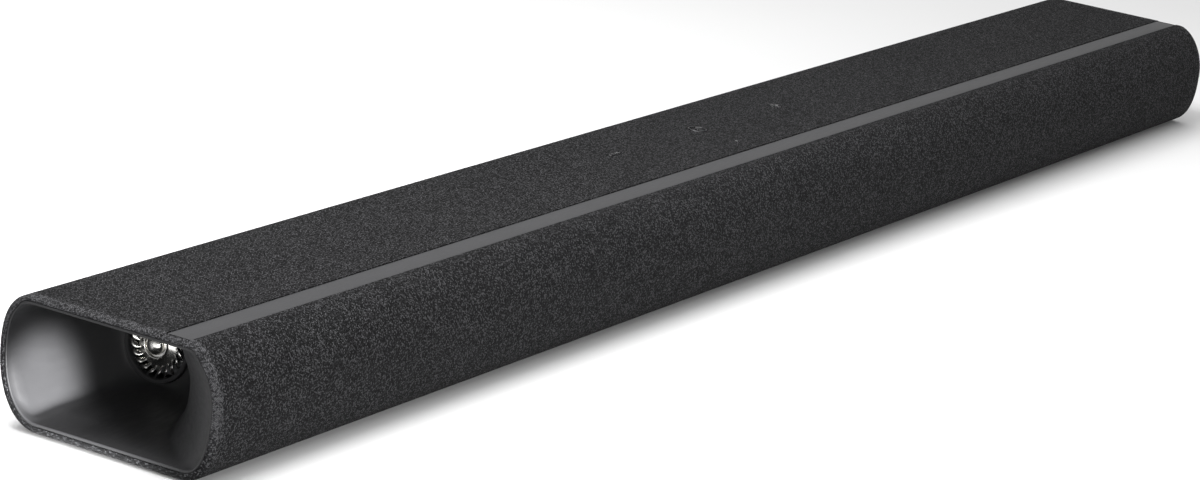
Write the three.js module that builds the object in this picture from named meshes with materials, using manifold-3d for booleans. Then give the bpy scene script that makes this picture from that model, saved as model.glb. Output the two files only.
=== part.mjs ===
// A long, low soundbar: a cloth-wrapped housing with an open horn at each end, a trim strip along the
// top front edge, three keys on the top and ten small woofers behind the front.
// Millimetres. +X runs along the bar, -Y is the front, +Z is up, and the origin is on the
// standing surface, under the middle of the bar.
import * as THREE from 'three';
import { mergeVertices } from 'three/addons/utils/BufferGeometryUtils.js';
import { ParametricGeometry } from 'three/addons/geometries/ParametricGeometry.js';
import Module from 'manifold-3d';

const wasm = await Module();
wasm.setup();

// ---------------------------------------------------------------- driving dimensions
const LENGTH = 1120;
const DEPTH = 125;
const TOP_Z = 65;
const BODY_Z = 0.6; // underside of the body, above the feet's soles
const GAP = 0.3; // clearance between neighbouring pieces

// The four corners of the cross-section are quarter superellipses: how far each reaches inwards from
// the widest line, the height of that line, and its exponent.
const FRONT_WIDEST_Z = 36;
const REAR_WIDEST_Z = 38.4;
const CORNER_REACH = { frontTop: 19.5, frontBottom: 20, rearBottom: 24.5, rearTop: 19 };
const CORNER_POWER = { frontTop: 1.8, frontBottom: 2.6, rearBottom: 2.1, rearTop: 2.5 };
const CORNER_STEPS = 6;

// layers of the wall, measured inwards from the outer surface
const CLOTH_THICKNESS = 0.8;
const RIM_ROUND = 3.2; // how the cloth rolls over the end rim
const SHELL_OUTER = CLOTH_THICKNESS + GAP;
const SHELL_INNER = 3.6;
const HORN_OUTER = SHELL_INNER + GAP;
const HORN_LIP = 1;

// trim strip along the top front edge, and the joint between the two shells under it
const STRIP_FRONT_Y = -40.7;
const STRIP_REAR_Y = -27.3;
const STRIP_RECESS = 0.3;
const SHELL_JOINT_Y = (STRIP_FRONT_Y + STRIP_REAR_Y) / 2;

// end horns
const HORN_DEPTH = 74;
const HORN_WALL = 2;
const THROAT_RADIUS = 19;
const THROAT_Y = 26;
const THROAT_Z = 32.3;
const HORN_STATIONS = 7;
const TWEETER_SETBACK = 6.4; // from the throat back to the tweeter's face
const HORN_RECESS = 0.5; // the lip lies this far inside the end of the bar
const FLARE = { amount: 0.55, depth: 0.62, fromY: 20 }; // how the front wall curves in behind the mouth

// drivers
const DRIVER_Z = 32.3;
const WOOFER_X = [46, 210, 272, 334, 396];
const WOOFER_FRONT_Y = -48;
const WOOFER_SEGMENTS = 10;
const TWEETER_SEGMENTS = 10;
const FLANGE_RADIUS = 26;
const BASKET_RADIUS = 23.3;
const TWEETER_RADIUS = 16.2;
const TWEETER_BASKET_RADIUS = 13.5;
const BAFFLE_FRONT_Y = -46;
const BAFFLE_REAR_Y = -43;
const BAFFLE_HALF_LENGTH = 476;
const BAFFLE_HEIGHT = 53.6;
const HOLE_SIDES = 12; // sides of the round holes in the baffle
const DISPLAY = { x: 127, z: 34, length: 72, height: 16 };
// openings of the front grille
const WINDOW = { z: 33.3, corner: 8, woofer: [48, 38], tweeter: [24, 30], margin: 4 };

// keys on the top
const KEY_X = 92;
const KEY_Y = 14.2;
const KEY_PROUD = 0.4;
const KEY_CLEARANCE = 0.35;
const KEY_BAR = { minus: 10.4, plus: 8, width: 2.6 };
const SOURCE_KEY = { outer: 5.6, inner: 4.5, dot: 1.3 };
const KEY_FLANGE_Z = 60.9;
const KEY_FLANGE_THICKNESS = 1.8;
const KEY_FLANGE_MARGIN = 1.4;
const PLUNGER_Z = 56.3;
const PLUNGER_RADIUS = 1.6;
const KEY_BOARD = { z: 51, thickness: 1.6, halfLength: 108, halfWidth: 9 };
const KEY_SWITCH = { half: 3, height: 2.3 };

// underside
const BASE_HALF_LENGTH = 468;
const BASE_HALF_WIDTH = 28;
const BASE_THICKNESS = 3.2;
const BASE_CORNER = 8;
const FOOT = { x: 395, y: 17, length: 46, width: 12, pocket: 1 };
const BOARD_Z = 8;
const BOARD_POSTS = { x: [-118, 98, 142, 278], y: [-9, 24], radius: 2.6 };
const SCREW = { x: 330, y: 21, headRadius: 3.2, shankRadius: 1.5, length: 9 };
const RIB = { halfWidth: 5, thickness: 2.6, bossRadius: 4, bossHeight: 7 }; // what the screws hold on to

// rear
const RECESS = { halfLength: 92, lowZ: 17, highZ: 45, floorY: 38, wall: 2 };
const INSERT = { x: 330, z: 38.4, radius: 4.2, length: 9, boreRadius: 2.1, boreDepth: 7 };
const INSERT_ROUNDNESS = 8;

// How far cutters reach: BELOW and ABOVE clear the body, MIDDLE_Z lies between its top and bottom walls,
// and MIDDLE_Y between its front and rear walls.
const BELOW = -5;
const ABOVE = 80;
const MIDDLE_Z = 50;
const MIDDLE_Y = 45;

// ---------------------------------------------------------------- solids
function orientedIndex(position, index) {
  let volume = 0;
  const a = new THREE.Vector3();
  const b = new THREE.Vector3();
  const c = new THREE.Vector3();
  for (let i = 0; i < index.length; i += 3) {
    a.fromBufferAttribute(position, index[i]);
    b.fromBufferAttribute(position, index[i + 1]);
    c.fromBufferAttribute(position, index[i + 2]);
    volume += a.dot(b.cross(c));
  }
  return volume < 0 ? index.slice().reverse() : index;
}

function solid(geometry) {
  const bare = geometry.clone();
  bare.deleteAttribute('normal');
  bare.deleteAttribute('uv');
  const merged = mergeVertices(bare, 1e-4);
  const all = Array.from(merged.index.array);
  const kept = [];
  for (let i = 0; i < all.length; i += 3) {
    const [a, b, c] = all.slice(i, i + 3);
    if (a !== b && b !== c && c !== a) kept.push(a, b, c);
  }
  const position = merged.getAttribute('position');
  return new wasm.Manifold(new wasm.Mesh({
    numProp: 3,
    vertProperties: new Float32Array(position.array),
    triVerts: new Uint32Array(orientedIndex(position, kept)),
  }));
}

function joined(solids) {
  return solids.reduce((whole, piece) => whole.add(piece));
}

function without(whole, ...cutters) {
  return cutters.reduce((left, cutter) => left.subtract(cutter), whole);
}

function geometryOf(piece) {
  const mesh = piece.getMesh();
  const geometry = new THREE.BufferGeometry();
  geometry.setAttribute('position', new THREE.BufferAttribute(mesh.vertProperties, 3));
  geometry.setIndex(new THREE.BufferAttribute(mesh.triVerts, 1));
  geometry.computeVertexNormals();
  return geometry;
}

// ---------------------------------------------------------------- shapes
function box(low, high) {
  const size = high.map((value, i) => value - low[i]);
  const geometry = new THREE.BoxGeometry(...size);
  geometry.translate(...low.map((value, i) => value + size[i] / 2));
  return solid(geometry);
}

// An outline drawn in (Y, Z), extruded along X, with its end edges rounded.
const ALONG_X = new THREE.Matrix4().makeBasis(
  new THREE.Vector3(0, 1, 0),
  new THREE.Vector3(0, 0, 1),
  new THREE.Vector3(1, 0, 0),
);

function alongX(shape, x0, x1, round = 0) {
  const geometry = new THREE.ExtrudeGeometry(shape, {
    depth: x1 - x0 - 2 * round,
    steps: 1,
    bevelEnabled: round > 0,
    bevelThickness: round,
    bevelSize: round,
    bevelOffset: -round,
    bevelSegments: 2,
  });
  geometry.applyMatrix4(ALONG_X);
  geometry.translate(x0 + round, 0, 0);
  return solid(geometry);
}

// An outline drawn in (X, Y), extruded up from z0 to z1.
function upwards(shape, z0, z1, curveSegments = 2) {
  const options = { depth: z1 - z0, steps: 1, bevelEnabled: false, curveSegments };
  const geometry = new THREE.ExtrudeGeometry(shape, options);
  geometry.translate(0, 0, z0);
  return solid(geometry);
}

// An outline drawn in (X, Z), extruded along Y.
function alongY(shape, y0, y1, curveSegments = 2) {
  const options = { depth: y1 - y0, steps: 1, bevelEnabled: false, curveSegments };
  const geometry = new THREE.ExtrudeGeometry(shape, options);
  geometry.rotateX(Math.PI / 2);
  geometry.translate(0, y1, 0);
  return solid(geometry);
}

function roundedRectangle(cx, cy, width, height, radius) {
  const left = cx - width / 2;
  const right = cx + width / 2;
  const low = cy - height / 2;
  const high = cy + height / 2;
  const shape = new THREE.Shape();
  shape.moveTo(left + radius, low);
  shape.lineTo(right - radius, low);
  shape.absarc(right - radius, low + radius, radius, -Math.PI / 2, 0);
  shape.lineTo(right, high - radius);
  shape.absarc(right - radius, high - radius, radius, 0, Math.PI / 2);
  shape.lineTo(left + radius, high);
  shape.absarc(left + radius, high - radius, radius, Math.PI / 2, Math.PI);
  shape.lineTo(left, low + radius);
  shape.absarc(left + radius, low + radius, radius, Math.PI, 1.5 * Math.PI);
  return shape;
}

function circle(cx, cy, radius) {
  const shape = new THREE.Shape();
  shape.absarc(cx, cy, radius, 0, 2 * Math.PI);
  return shape;
}

// A profile of [radius, distance along the axis] turned about the axis, which starts as +Y.
function turned(profile, segments) {
  const points = profile.map(([radius, along]) => new THREE.Vector2(radius, along));
  return new THREE.LatheGeometry(points, segments);
}

// ---------------------------------------------------------------- cross-section of the bar
function corner(cy, cz, reach, rise, power, from) {
  const points = [];
  for (let i = 0; i < CORNER_STEPS; i += 1) {
    const turn = ((from + i / CORNER_STEPS) * Math.PI) / 2;
    const across = Math.cos(turn);
    const up = Math.sin(turn);
    points.push(new THREE.Vector2(
      cy + reach * Math.sign(across) * Math.abs(across) ** (2 / power),
      cz + rise * Math.sign(up) * Math.abs(up) ** (2 / power),
    ));
  }
  return points;
}

// The outer outline in (Y, Z), counter-clockwise from the widest point of the rear.
function outerOutline() {
  const half = DEPTH / 2;
  const { frontTop, frontBottom, rearBottom, rearTop } = CORNER_REACH;
  const power = CORNER_POWER;
  const frontDrop = FRONT_WIDEST_Z - BODY_Z;
  const rearDrop = REAR_WIDEST_Z - BODY_Z;
  return [
    ...corner(half - rearTop, REAR_WIDEST_Z, rearTop, TOP_Z - REAR_WIDEST_Z, power.rearTop, 0),
    new THREE.Vector2(half - rearTop, TOP_Z),
    ...corner(frontTop - half, FRONT_WIDEST_Z, frontTop, TOP_Z - FRONT_WIDEST_Z, power.frontTop, 1),
    ...corner(frontBottom - half, FRONT_WIDEST_Z, frontBottom, frontDrop, power.frontBottom, 2),
    new THREE.Vector2(frontBottom - half, BODY_Z),
    ...corner(half - rearBottom, REAR_WIDEST_Z, rearBottom, rearDrop, power.rearBottom, 3),
  ];
}

// The same outline moved inwards by a wall thickness.
function outline(inset = 0) {
  const points = outerOutline();
  const count = points.length;
  return points.map((point, i) => {
    const before = point.clone().sub(points[(i + count - 1) % count]).normalize();
    const after = points[(i + 1) % count].clone().sub(point).normalize();
    const inwards = new THREE.Vector2(-before.y - after.y, before.x + after.x).normalize();
    const stretch = Math.sqrt((1 + before.dot(after)) / 2);
    return point.clone().addScaledVector(inwards, inset / stretch);
  });
}

function sectionBar(inset, endInset, round = 0) {
  const half = LENGTH / 2 - endInset;
  return alongX(new THREE.Shape(outline(inset)), -half, half, round);
}

// ---------------------------------------------------------------- openings cut through several layers
function keyOutline(kind, cx, grow = 0) {
  if (kind === 'source') return [circle(cx, KEY_Y, SOURCE_KEY.outer + grow)];
  const length = KEY_BAR[kind] + 2 * grow;
  const width = KEY_BAR.width + 2 * grow;
  const bar = roundedRectangle(cx, KEY_Y, length, width, width / 2 - 0.01);
  if (kind === 'minus') return [bar];
  return [bar, roundedRectangle(cx, KEY_Y, width, length, width / 2 - 0.01)];
}

const KEYS = [
  { name: 'key_minus', kind: 'minus', x: -KEY_X },
  { name: 'key_source', kind: 'source', x: 0 },
  { name: 'key_plus', kind: 'plus', x: KEY_X },
];

function keyPrism(key, grow, z0, z1) {
  const segments = key.kind === 'source' ? 10 : 2;
  return joined(keyOutline(key.kind, key.x, grow).map((shape) => upwards(shape, z0, z1, segments)));
}

function bodyOpenings() {
  const keyHoles = KEYS.map((key) => keyPrism(key, KEY_CLEARANCE, PLUNGER_Z, ABOVE));
  const baseHole = upwards(
    roundedRectangle(0, 0, 2 * BASE_HALF_LENGTH, 2 * BASE_HALF_WIDTH, BASE_CORNER), BELOW, BOARD_Z);
  const margin = RECESS.wall + GAP;
  const recessHole = box(
    [-RECESS.halfLength - margin, MIDDLE_Y, RECESS.lowZ - margin],
    [RECESS.halfLength + margin, DEPTH, RECESS.highZ + margin]);
  const insertHoles = [-1, 1].map((side) => alongY(
    circle(side * INSERT.x, INSERT.z, INSERT.radius + GAP), MIDDLE_Y, DEPTH, INSERT_ROUNDNESS));
  return [...keyHoles, baseHole, recessHole, ...insertHoles];
}

const OPENINGS = bodyOpenings();

// ---------------------------------------------------------------- cloth, strip and shells
function wrap(outer, inner, round) {
  return without(
    sectionBar(outer, outer, round),
    sectionBar(inner, inner, round - (inner - outer)),
    sectionBar(SHELL_INNER, -1));
}

function clothSleeve() {
  const slot = box([-LENGTH, STRIP_FRONT_Y - GAP, MIDDLE_Z], [LENGTH, STRIP_REAR_Y + GAP, ABOVE]);
  return without(wrap(0, CLOTH_THICKNESS, RIM_ROUND), slot, ...OPENINGS);
}

function trimStrip() {
  const region = box([-LENGTH, STRIP_FRONT_Y, MIDDLE_Z], [LENGTH, STRIP_REAR_Y, ABOVE]);
  return wrap(STRIP_RECESS, CLOTH_THICKNESS, RIM_ROUND - STRIP_RECESS).intersect(region);
}

function shellTube() {
  return without(
    sectionBar(SHELL_OUTER, SHELL_OUTER, RIM_ROUND - SHELL_OUTER),
    sectionBar(SHELL_INNER, -1));
}

function grilleWindows() {
  const { z, corner: radius, woofer, tweeter, margin } = WINDOW;
  const shapes = [];
  for (const side of [-1, 1]) {
    for (const x of WOOFER_X) shapes.push(roundedRectangle(side * x, z, ...woofer, radius));
  }
  shapes.push(roundedRectangle(0, z, ...tweeter, radius));
  shapes.push(roundedRectangle(DISPLAY.x, DISPLAY.z, DISPLAY.length + margin, DISPLAY.height + margin, 2));
  return shapes.map((shape) => alongY(shape, -DEPTH, -MIDDLE_Y, 1));
}

function frontGrille() {
  const region = box([-LENGTH, -DEPTH, BELOW], [LENGTH, SHELL_JOINT_Y - GAP / 2, ABOVE]);
  return without(shellTube().intersect(region), ...grilleWindows());
}

function rearHousing() {
  const region = box([-LENGTH, SHELL_JOINT_Y + GAP / 2, BELOW], [LENGTH, DEPTH, ABOVE]);
  const shell = without(shellTube().intersect(region), ...OPENINGS);
  return joined([shell, screwRib(-1), screwRib(1)]);
}

// A rib across the service opening, with two bosses that take the base panel's screws.
function screwRib(side) {
  const x = side * SCREW.x;
  const { halfWidth, thickness, bossRadius, bossHeight } = RIB;
  const low = BODY_Z + 0.1 + BASE_THICKNESS + GAP;
  const rib = box(
    [x - halfWidth, SHELL_JOINT_Y + 1.5, low - 0.1], [x + halfWidth, -SHELL_JOINT_Y, low + thickness]);
  const spots = [-1, 1].map((end) => end * SCREW.y);
  const bosses = spots.map((y) => upwards(circle(x, y, bossRadius), low + 0.5, low + bossHeight, 4));
  const pilots = spots.map((y) => upwards(
    circle(x, y, SCREW.shankRadius + GAP), BELOW, low + bossHeight + 0.5, 3));
  return without(joined([rib, ...bosses]), ...pilots);
}

// The corner radius of a many-sided hole whose flats clear a round piece.
function clearHole(radius) {
  return (radius + GAP) / Math.cos(Math.PI / HOLE_SIDES);
}

function frontBaffle() {
  const plate = alongY(
    roundedRectangle(0, DRIVER_Z, 2 * BAFFLE_HALF_LENGTH, BAFFLE_HEIGHT, 3), BAFFLE_FRONT_Y, BAFFLE_REAR_Y);
  const holes = [];
  for (const side of [-1, 1]) {
    for (const x of WOOFER_X) holes.push(circle(side * x, DRIVER_Z, clearHole(BASKET_RADIUS)));
  }
  holes.push(circle(0, DRIVER_Z, clearHole(TWEETER_BASKET_RADIUS)));
  return without(plate, ...holes.map((shape) => alongY(shape, -DEPTH, 0, HOLE_SIDES / 2)));
}

// ---------------------------------------------------------------- underside
function pad(cx, cy, length, width, z0, z1) {
  return upwards(roundedRectangle(cx, cy, length, width, width / 2 - 0.01), z0, z1);
}

const CORNERS = [
  { name: 'front_left', x: -1, y: -1 },
  { name: 'front_right', x: 1, y: -1 },
  { name: 'rear_left', x: -1, y: 1 },
  { name: 'rear_right', x: 1, y: 1 },
];

function basePanel() {
  const bottom = BODY_Z + 0.1;
  const plate = upwards(
    roundedRectangle(0, 0, 2 * (BASE_HALF_LENGTH - GAP), 2 * (BASE_HALF_WIDTH - GAP), 7.7),
    bottom, bottom + BASE_THICKNESS);
  const cuts = [];
  for (const { x, y } of CORNERS) {
    const footX = x * FOOT.x;
    const footY = y * FOOT.y;
    cuts.push(pad(footX, footY, FOOT.length + 0.6, FOOT.width + 0.6, -1, bottom + FOOT.pocket));
    cuts.push(upwards(circle(x * SCREW.x, y * SCREW.y, SCREW.headRadius + GAP), -1, bottom + 1.7, 5));
    cuts.push(upwards(circle(x * SCREW.x, y * SCREW.y, SCREW.shankRadius + GAP), -1, 9, 4));
  }
  const posts = BOARD_POSTS.x.flatMap((x) => BOARD_POSTS.y.map((y) => upwards(
    circle(x, y, BOARD_POSTS.radius), bottom + 1, BOARD_Z - GAP, 3)));
  return joined([without(plate, ...cuts), ...posts]);
}

function foot({ x, y }) {
  const top = BODY_Z + 0.1 + FOOT.pocket - GAP;
  return pad(x * FOOT.x, y * FOOT.y, FOOT.length, FOOT.width, 0, top);
}

function baseScrew({ x, y }) {
  const headZ = BODY_Z + 0.4;
  const geometry = turned([
    [0, headZ],
    [SCREW.headRadius - 0.4, headZ],
    [SCREW.headRadius, headZ + 0.3],
    [SCREW.headRadius, headZ + 1.1],
    [SCREW.shankRadius, headZ + 1.1],
    [SCREW.shankRadius, headZ + SCREW.length - 1],
    [0, headZ + SCREW.length],
  ], 8);
  geometry.rotateX(Math.PI / 2);
  geometry.translate(x * SCREW.x, y * SCREW.y, 0);
  return solid(geometry);
}

// ---------------------------------------------------------------- end horns
// One ring of the horn's inside at a share of its depth: the mouth follows the body's outline, the front
// wall flares in at once, and the other walls stay nearly parallel and close late on the round throat.
function hornRing(share, widen) {
  const mouth = outline(HORN_OUTER + HORN_LIP - widen);
  const late = 0.1 * share + 0.9 * (1 - (1 - share ** 4) ** 0.6);
  const flare = FLARE.amount * (1 - (1 - Math.min(share / FLARE.depth, 1)) ** 2);
  const depth = share * HORN_DEPTH;
  return mouth.map((point, i) => {
    const frontness = THREE.MathUtils.clamp((FLARE.fromY - point.x) / (FLARE.fromY + DEPTH / 2), 0, 1);
    const closing = late + (1 - late) * flare * frontness;
    const turn = (2 * Math.PI * i) / mouth.length;
    const radius = THROAT_RADIUS + widen;
    const throat = new THREE.Vector2(
      THROAT_Y + radius * Math.cos(turn), THROAT_Z + radius * Math.sin(turn));
    const here = point.clone().lerp(throat, closing);
    return new THREE.Vector3(-LENGTH / 2 + HORN_RECESS + depth, here.x, here.y);
  });
}

// A closed solid through rings of equal length, with a flat cap at each end.
function loft(rings) {
  const cap = (ring) => {
    const middle = ring.reduce((sum, point) => sum.add(point), new THREE.Vector3());
    return ring.map(() => middle.clone().divideScalar(ring.length));
  };
  const all = [cap(rings[0]), ...rings, cap(rings[rings.length - 1])];
  const around = rings[0].length;
  const surface = new ParametricGeometry((u, v, target) => {
    const ring = all[Math.round(v * (all.length - 1))];
    target.copy(ring[Math.round(u * around) % around]);
  }, around, all.length - 1);
  return solid(surface);
}

function hornStations(widen, startShift, endShift) {
  const rings = [];
  for (let i = 0; i <= HORN_STATIONS; i += 1) {
    const share = 1 - (1 - i / HORN_STATIONS) ** 1.5; // closer together towards the throat
    rings.push(hornRing(share, widen));
  }
  const first = rings[0].map((point) => point.clone().setX(point.x + startShift));
  const last = rings[HORN_STATIONS].map((point) => point.clone().setX(point.x + endShift));
  return [first, ...rings, last];
}

function leftHorn() {
  const body = loft(hornStations(HORN_WALL, -0.01, TWEETER_SETBACK - GAP));
  const limit = alongX(new THREE.Shape(outline(HORN_OUTER)), -LENGTH / 2 + HORN_RECESS, -LENGTH / 2 + 90);
  const cavity = loft(hornStations(0, -5, 10));
  return without(body.intersect(limit), cavity);
}

const VANES = 20;
const PLUG = { hub: 6.4, rim: 16.4, rimOuter: 18.6, front: -2, back: 2.4 };

// One curved vane of the phase plug, from the hub to the rim, drawn across the throat.
function vane(index) {
  const turn = (index / VANES) * 2 * Math.PI;
  const at = (radius, lead) => new THREE.Vector2(
    radius * Math.cos(turn + lead), radius * Math.sin(turn + lead));
  const steps = 2;
  const start = PLUG.hub - 0.6;
  const reach = PLUG.rim + 0.8 - start;
  const leading = [];
  const trailing = [];
  for (let i = 0; i <= steps; i += 1) {
    const radius = start + (reach * i) / steps;
    const sweep = 0.55 * (i / steps) ** 1.4;
    const halfWidth = (0.35 + (0.45 * i) / steps) / radius;
    leading.push(at(radius, sweep + halfWidth));
    trailing.push(at(radius, sweep - halfWidth));
  }
  return new THREE.Shape([...trailing, ...leading.reverse()]);
}

// The phase plug: a domed hub, a ring around it, and the vanes that hold it. Its axis is +X and its
// front faces -X.
function leftPhasePlug() {
  const hub = turned([
    [0, -5.4], [3, -4.7], [4.9, -1.6], [5.5, -1.6], [5.5, -2.6], [PLUG.hub, -2.6],
    [PLUG.hub, PLUG.back], [0, PLUG.back],
  ], 14);
  const rim = turned([
    [PLUG.rim, PLUG.front], [PLUG.rimOuter, PLUG.front], [PLUG.rimOuter, PLUG.back],
    [PLUG.rim, PLUG.back], [PLUG.rim, PLUG.front],
  ], 20);
  for (const part of [hub, rim]) part.rotateZ(-Math.PI / 2);
  const vanes = [];
  for (let i = 0; i < VANES; i += 1) {
    vanes.push(alongX(vane(i), PLUG.front + 0.2, PLUG.back - 0.4));
  }
  return joined([solid(hub), solid(rim), ...vanes])
    .translate([-LENGTH / 2 + HORN_RECESS + HORN_DEPTH, THROAT_Y, THROAT_Z]);
}

function mirrored(piece) {
  return piece.mirror([1, 0, 0]);
}

// ---------------------------------------------------------------- drivers
const WOOFER_FRAME = [
  [0, 27], [16, 27], [16, 13.8], [23.3, 6.4], [23.3, 1.7], [26, 1.7], [26, 0], [22.2, 0], [21.4, 4.5],
  [9.4, 12.5], [9.4, 17.5], [5.6, 17.5], [5.6, 10.5], [0, 10.5],
];
const WOOFER_CONE = [
  [0, 3.2], [6.6, 5.6], [16.2, 0.6], [18.6, -1.1], [20.8, 0.6], [20.8, 1.4], [18.6, 0.3], [16.6, 1.9],
  [6.9, 7], [6.9, 13], [6.1, 13], [6.1, 6.4], [0, 4.1],
];
const TWEETER_MOTOR = [
  [0, 17], [TWEETER_BASKET_RADIUS, 17], [TWEETER_BASKET_RADIUS, 1.8], [TWEETER_RADIUS, 1.8],
  [TWEETER_RADIUS, 0], [11.4, 0], [11.4, 6.2], [8.6, 6.2], [8.6, 2.4], [0, 2.4],
];
const TWEETER_DOME = [
  [0, -2.6], [4.6, -1.9], [9.2, 0.9], [10.2, 0.4], [10.9, 1], [10.9, 1.6], [10.1, 1.7], [10.1, 5],
  [9.4, 5], [9.4, 1.9], [4.4, -1.2], [0, -1.9],
];

function frontDriver(profile, x, segments) {
  const geometry = turned(profile, segments);
  geometry.translate(x, WOOFER_FRONT_Y, DRIVER_Z);
  return solid(geometry);
}

function leftTweeter(profile, segments) {
  const geometry = turned(profile, segments);
  geometry.rotateZ(-Math.PI / 2);
  geometry.translate(-LENGTH / 2 + HORN_RECESS + HORN_DEPTH + TWEETER_SETBACK, THROAT_Y, THROAT_Z);
  return solid(geometry);
}

// ---------------------------------------------------------------- keys
function keyCap(key) {
  const glyphBottom = KEY_FLANGE_Z - 0.2;
  const cap = key.kind === 'source'
    ? sourceGlyph(glyphBottom)
    : keyPrism(key, 0, glyphBottom, TOP_Z + KEY_PROUD);
  const flange = keyPrism(key, KEY_FLANGE_MARGIN, KEY_FLANGE_Z - KEY_FLANGE_THICKNESS, KEY_FLANGE_Z);
  const plunger = upwards(circle(key.x, KEY_Y, PLUNGER_RADIUS), PLUNGER_Z, KEY_FLANGE_Z - 0.5);
  return joined([cap, flange, plunger]);
}

function sourceGlyph(bottom) {
  const face = TOP_Z - 0.1;
  const top = TOP_Z + KEY_PROUD;
  const geometry = turned([
    [0, bottom], [SOURCE_KEY.outer, bottom], [SOURCE_KEY.outer, top - 0.2], [SOURCE_KEY.outer - 0.3, top],
    [SOURCE_KEY.inner, top], [SOURCE_KEY.inner, face], [SOURCE_KEY.dot, face], [SOURCE_KEY.dot, top - 0.2],
    [SOURCE_KEY.dot - 0.4, top], [0, top],
  ], 20);
  geometry.rotateX(Math.PI / 2);
  geometry.translate(0, KEY_Y, 0);
  return solid(geometry);
}

function keyBoard() {
  const { z, thickness, halfLength, halfWidth } = KEY_BOARD;
  const { half, height } = KEY_SWITCH;
  const face = z + thickness;
  const parts = [box([-halfLength, KEY_Y - halfWidth, z], [halfLength, KEY_Y + halfWidth, face])];
  for (const { x } of KEYS) {
    const top = face + height;
    parts.push(box([x - half, KEY_Y - half, face - 0.2], [x + half, KEY_Y + half, top]));
    parts.push(upwards(circle(x, KEY_Y, PLUNGER_RADIUS + 0.1), top - 0.5, top + 0.7));
  }
  return joined(parts);
}

// ---------------------------------------------------------------- electronics
function block(x, y, z, length, width, height) {
  return box([x - length / 2, y - width / 2, z], [x + length / 2, y + width / 2, z + height]);
}

function drum(x, y, z, radius, height) {
  return upwards(circle(x, y, radius), z, z + height, 4);
}

function mainBoard() {
  const z = BOARD_Z;
  const top = z + 1.6;
  return joined([
    block(-10, 9, z, 230, 46, 1.6),
    block(-62, 8, top - 0.2, 16, 16, 1.6),
    block(-18, 6, top - 0.2, 22, 22, 2.2),
    block(24, 12, top - 0.2, 12, 14, 1.4),
    block(62, 4, top - 0.2, 14, 14, 3.2),
    drum(82, 22, top - 0.2, 4, 11),
    drum(92, 12, top - 0.2, 4, 11),
    drum(-96, 20, top - 0.2, 5, 12),
    drum(-108, 6, top - 0.2, 5, 12),
  ]);
}

function amplifierHeatSink() {
  const z = 13.4;
  const fins = [];
  for (let i = 0; i < 8; i += 1) fins.push(block(45 + i * 5, -4.5, z + 2, 1.4, 24, 13));
  return joined([block(62.5, -4.5, z, 42, 24, 2.4), ...fins]);
}

function powerSupplyBoard() {
  const z = BOARD_Z;
  const top = z + 1.6;
  const coilX = 206;
  return joined([
    block(210, 12, z, 150, 52, 1.6),
    block(coilX, 14, top - 0.2, 34, 30, 26),
    block(coilX, 14, top + 3, 42, 22, 16),
    drum(244, 22, top - 0.2, 9, 28),
    drum(266, 2, top - 0.2, 6, 20),
    drum(268, 24, top - 0.2, 6, 20),
    block(164, 2, top - 0.2, 20, 16, 18),
    block(150, 26, top - 0.2, 16, 12, 14),
  ]);
}

function displayModule() {
  const { x, z, length, height } = DISPLAY;
  const panel = (middle, halfLength, halfHeight, y0, y1) => box(
    [middle - halfLength, y0, z - halfHeight], [middle + halfLength, y1, z + halfHeight]);
  const legs = [-1, 1].map((side) => panel(
    x + side * (length / 2 - 3), 2, 3, -51, BAFFLE_FRONT_Y - GAP));
  return joined([
    panel(x, length / 2, height / 2, -52.2, -50.6),
    panel(x, length / 2 - 2, height / 2 - 2, -57, -52),
    ...legs,
  ]);
}

// ---------------------------------------------------------------- rear connectors
const SOCKETS = [
  { name: 'mains_inlet', x: -70, outer: [22, 12], mouth: [18.4, 8.8], depth: 13 },
  { name: 'optical_socket', x: -34, outer: [11, 11], mouth: [7, 7], depth: 9 },
  { name: 'network_socket', x: -6, outer: [16.4, 13.4], mouth: [12, 8.4], depth: 12 },
  { name: 'video_socket_in', x: 30, outer: [17, 8], mouth: [14.2, 4.8], depth: 11 },
  { name: 'video_socket_out', x: 66, outer: [17, 8], mouth: [14.2, 4.8], depth: 11 },
];
const SOCKET_Z = 31;
const SOCKET_FACE_Y = RECESS.floorY + 1.2;

function ioPanel() {
  const { halfLength, lowZ, highZ, floorY, wall } = RECESS;
  const tray = box(
    [-halfLength - wall, floorY - wall, lowZ - wall], [halfLength + wall, DEPTH, highZ + wall]);
  const hollow = box([-halfLength, floorY, lowZ], [halfLength, DEPTH + 5, highZ]);
  const holes = SOCKETS.map((socket) => box(
    [socket.x - socket.outer[0] / 2 - GAP, 20, SOCKET_Z - socket.outer[1] / 2 - GAP],
    [socket.x + socket.outer[0] / 2 + GAP, 60, SOCKET_Z + socket.outer[1] / 2 + GAP]));
  return without(tray.intersect(sectionBar(0.3, 50)), hollow, ...holes);
}

function rearSocket(socket) {
  const { x } = socket;
  const [outerX, outerZ] = socket.outer;
  const [mouthX, mouthZ] = socket.mouth;
  const body = box(
    [x - outerX / 2, SOCKET_FACE_Y - socket.depth - 3, SOCKET_Z - outerZ / 2],
    [x + outerX / 2, SOCKET_FACE_Y, SOCKET_Z + outerZ / 2]);
  if (socket.name === 'mains_inlet') return mainsInlet(body, x, socket);
  return without(body, box(
    [x - mouthX / 2, SOCKET_FACE_Y - socket.depth, SOCKET_Z - mouthZ / 2],
    [x + mouthX / 2, SOCKET_FACE_Y + 5, SOCKET_Z + mouthZ / 2]));
}

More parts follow.
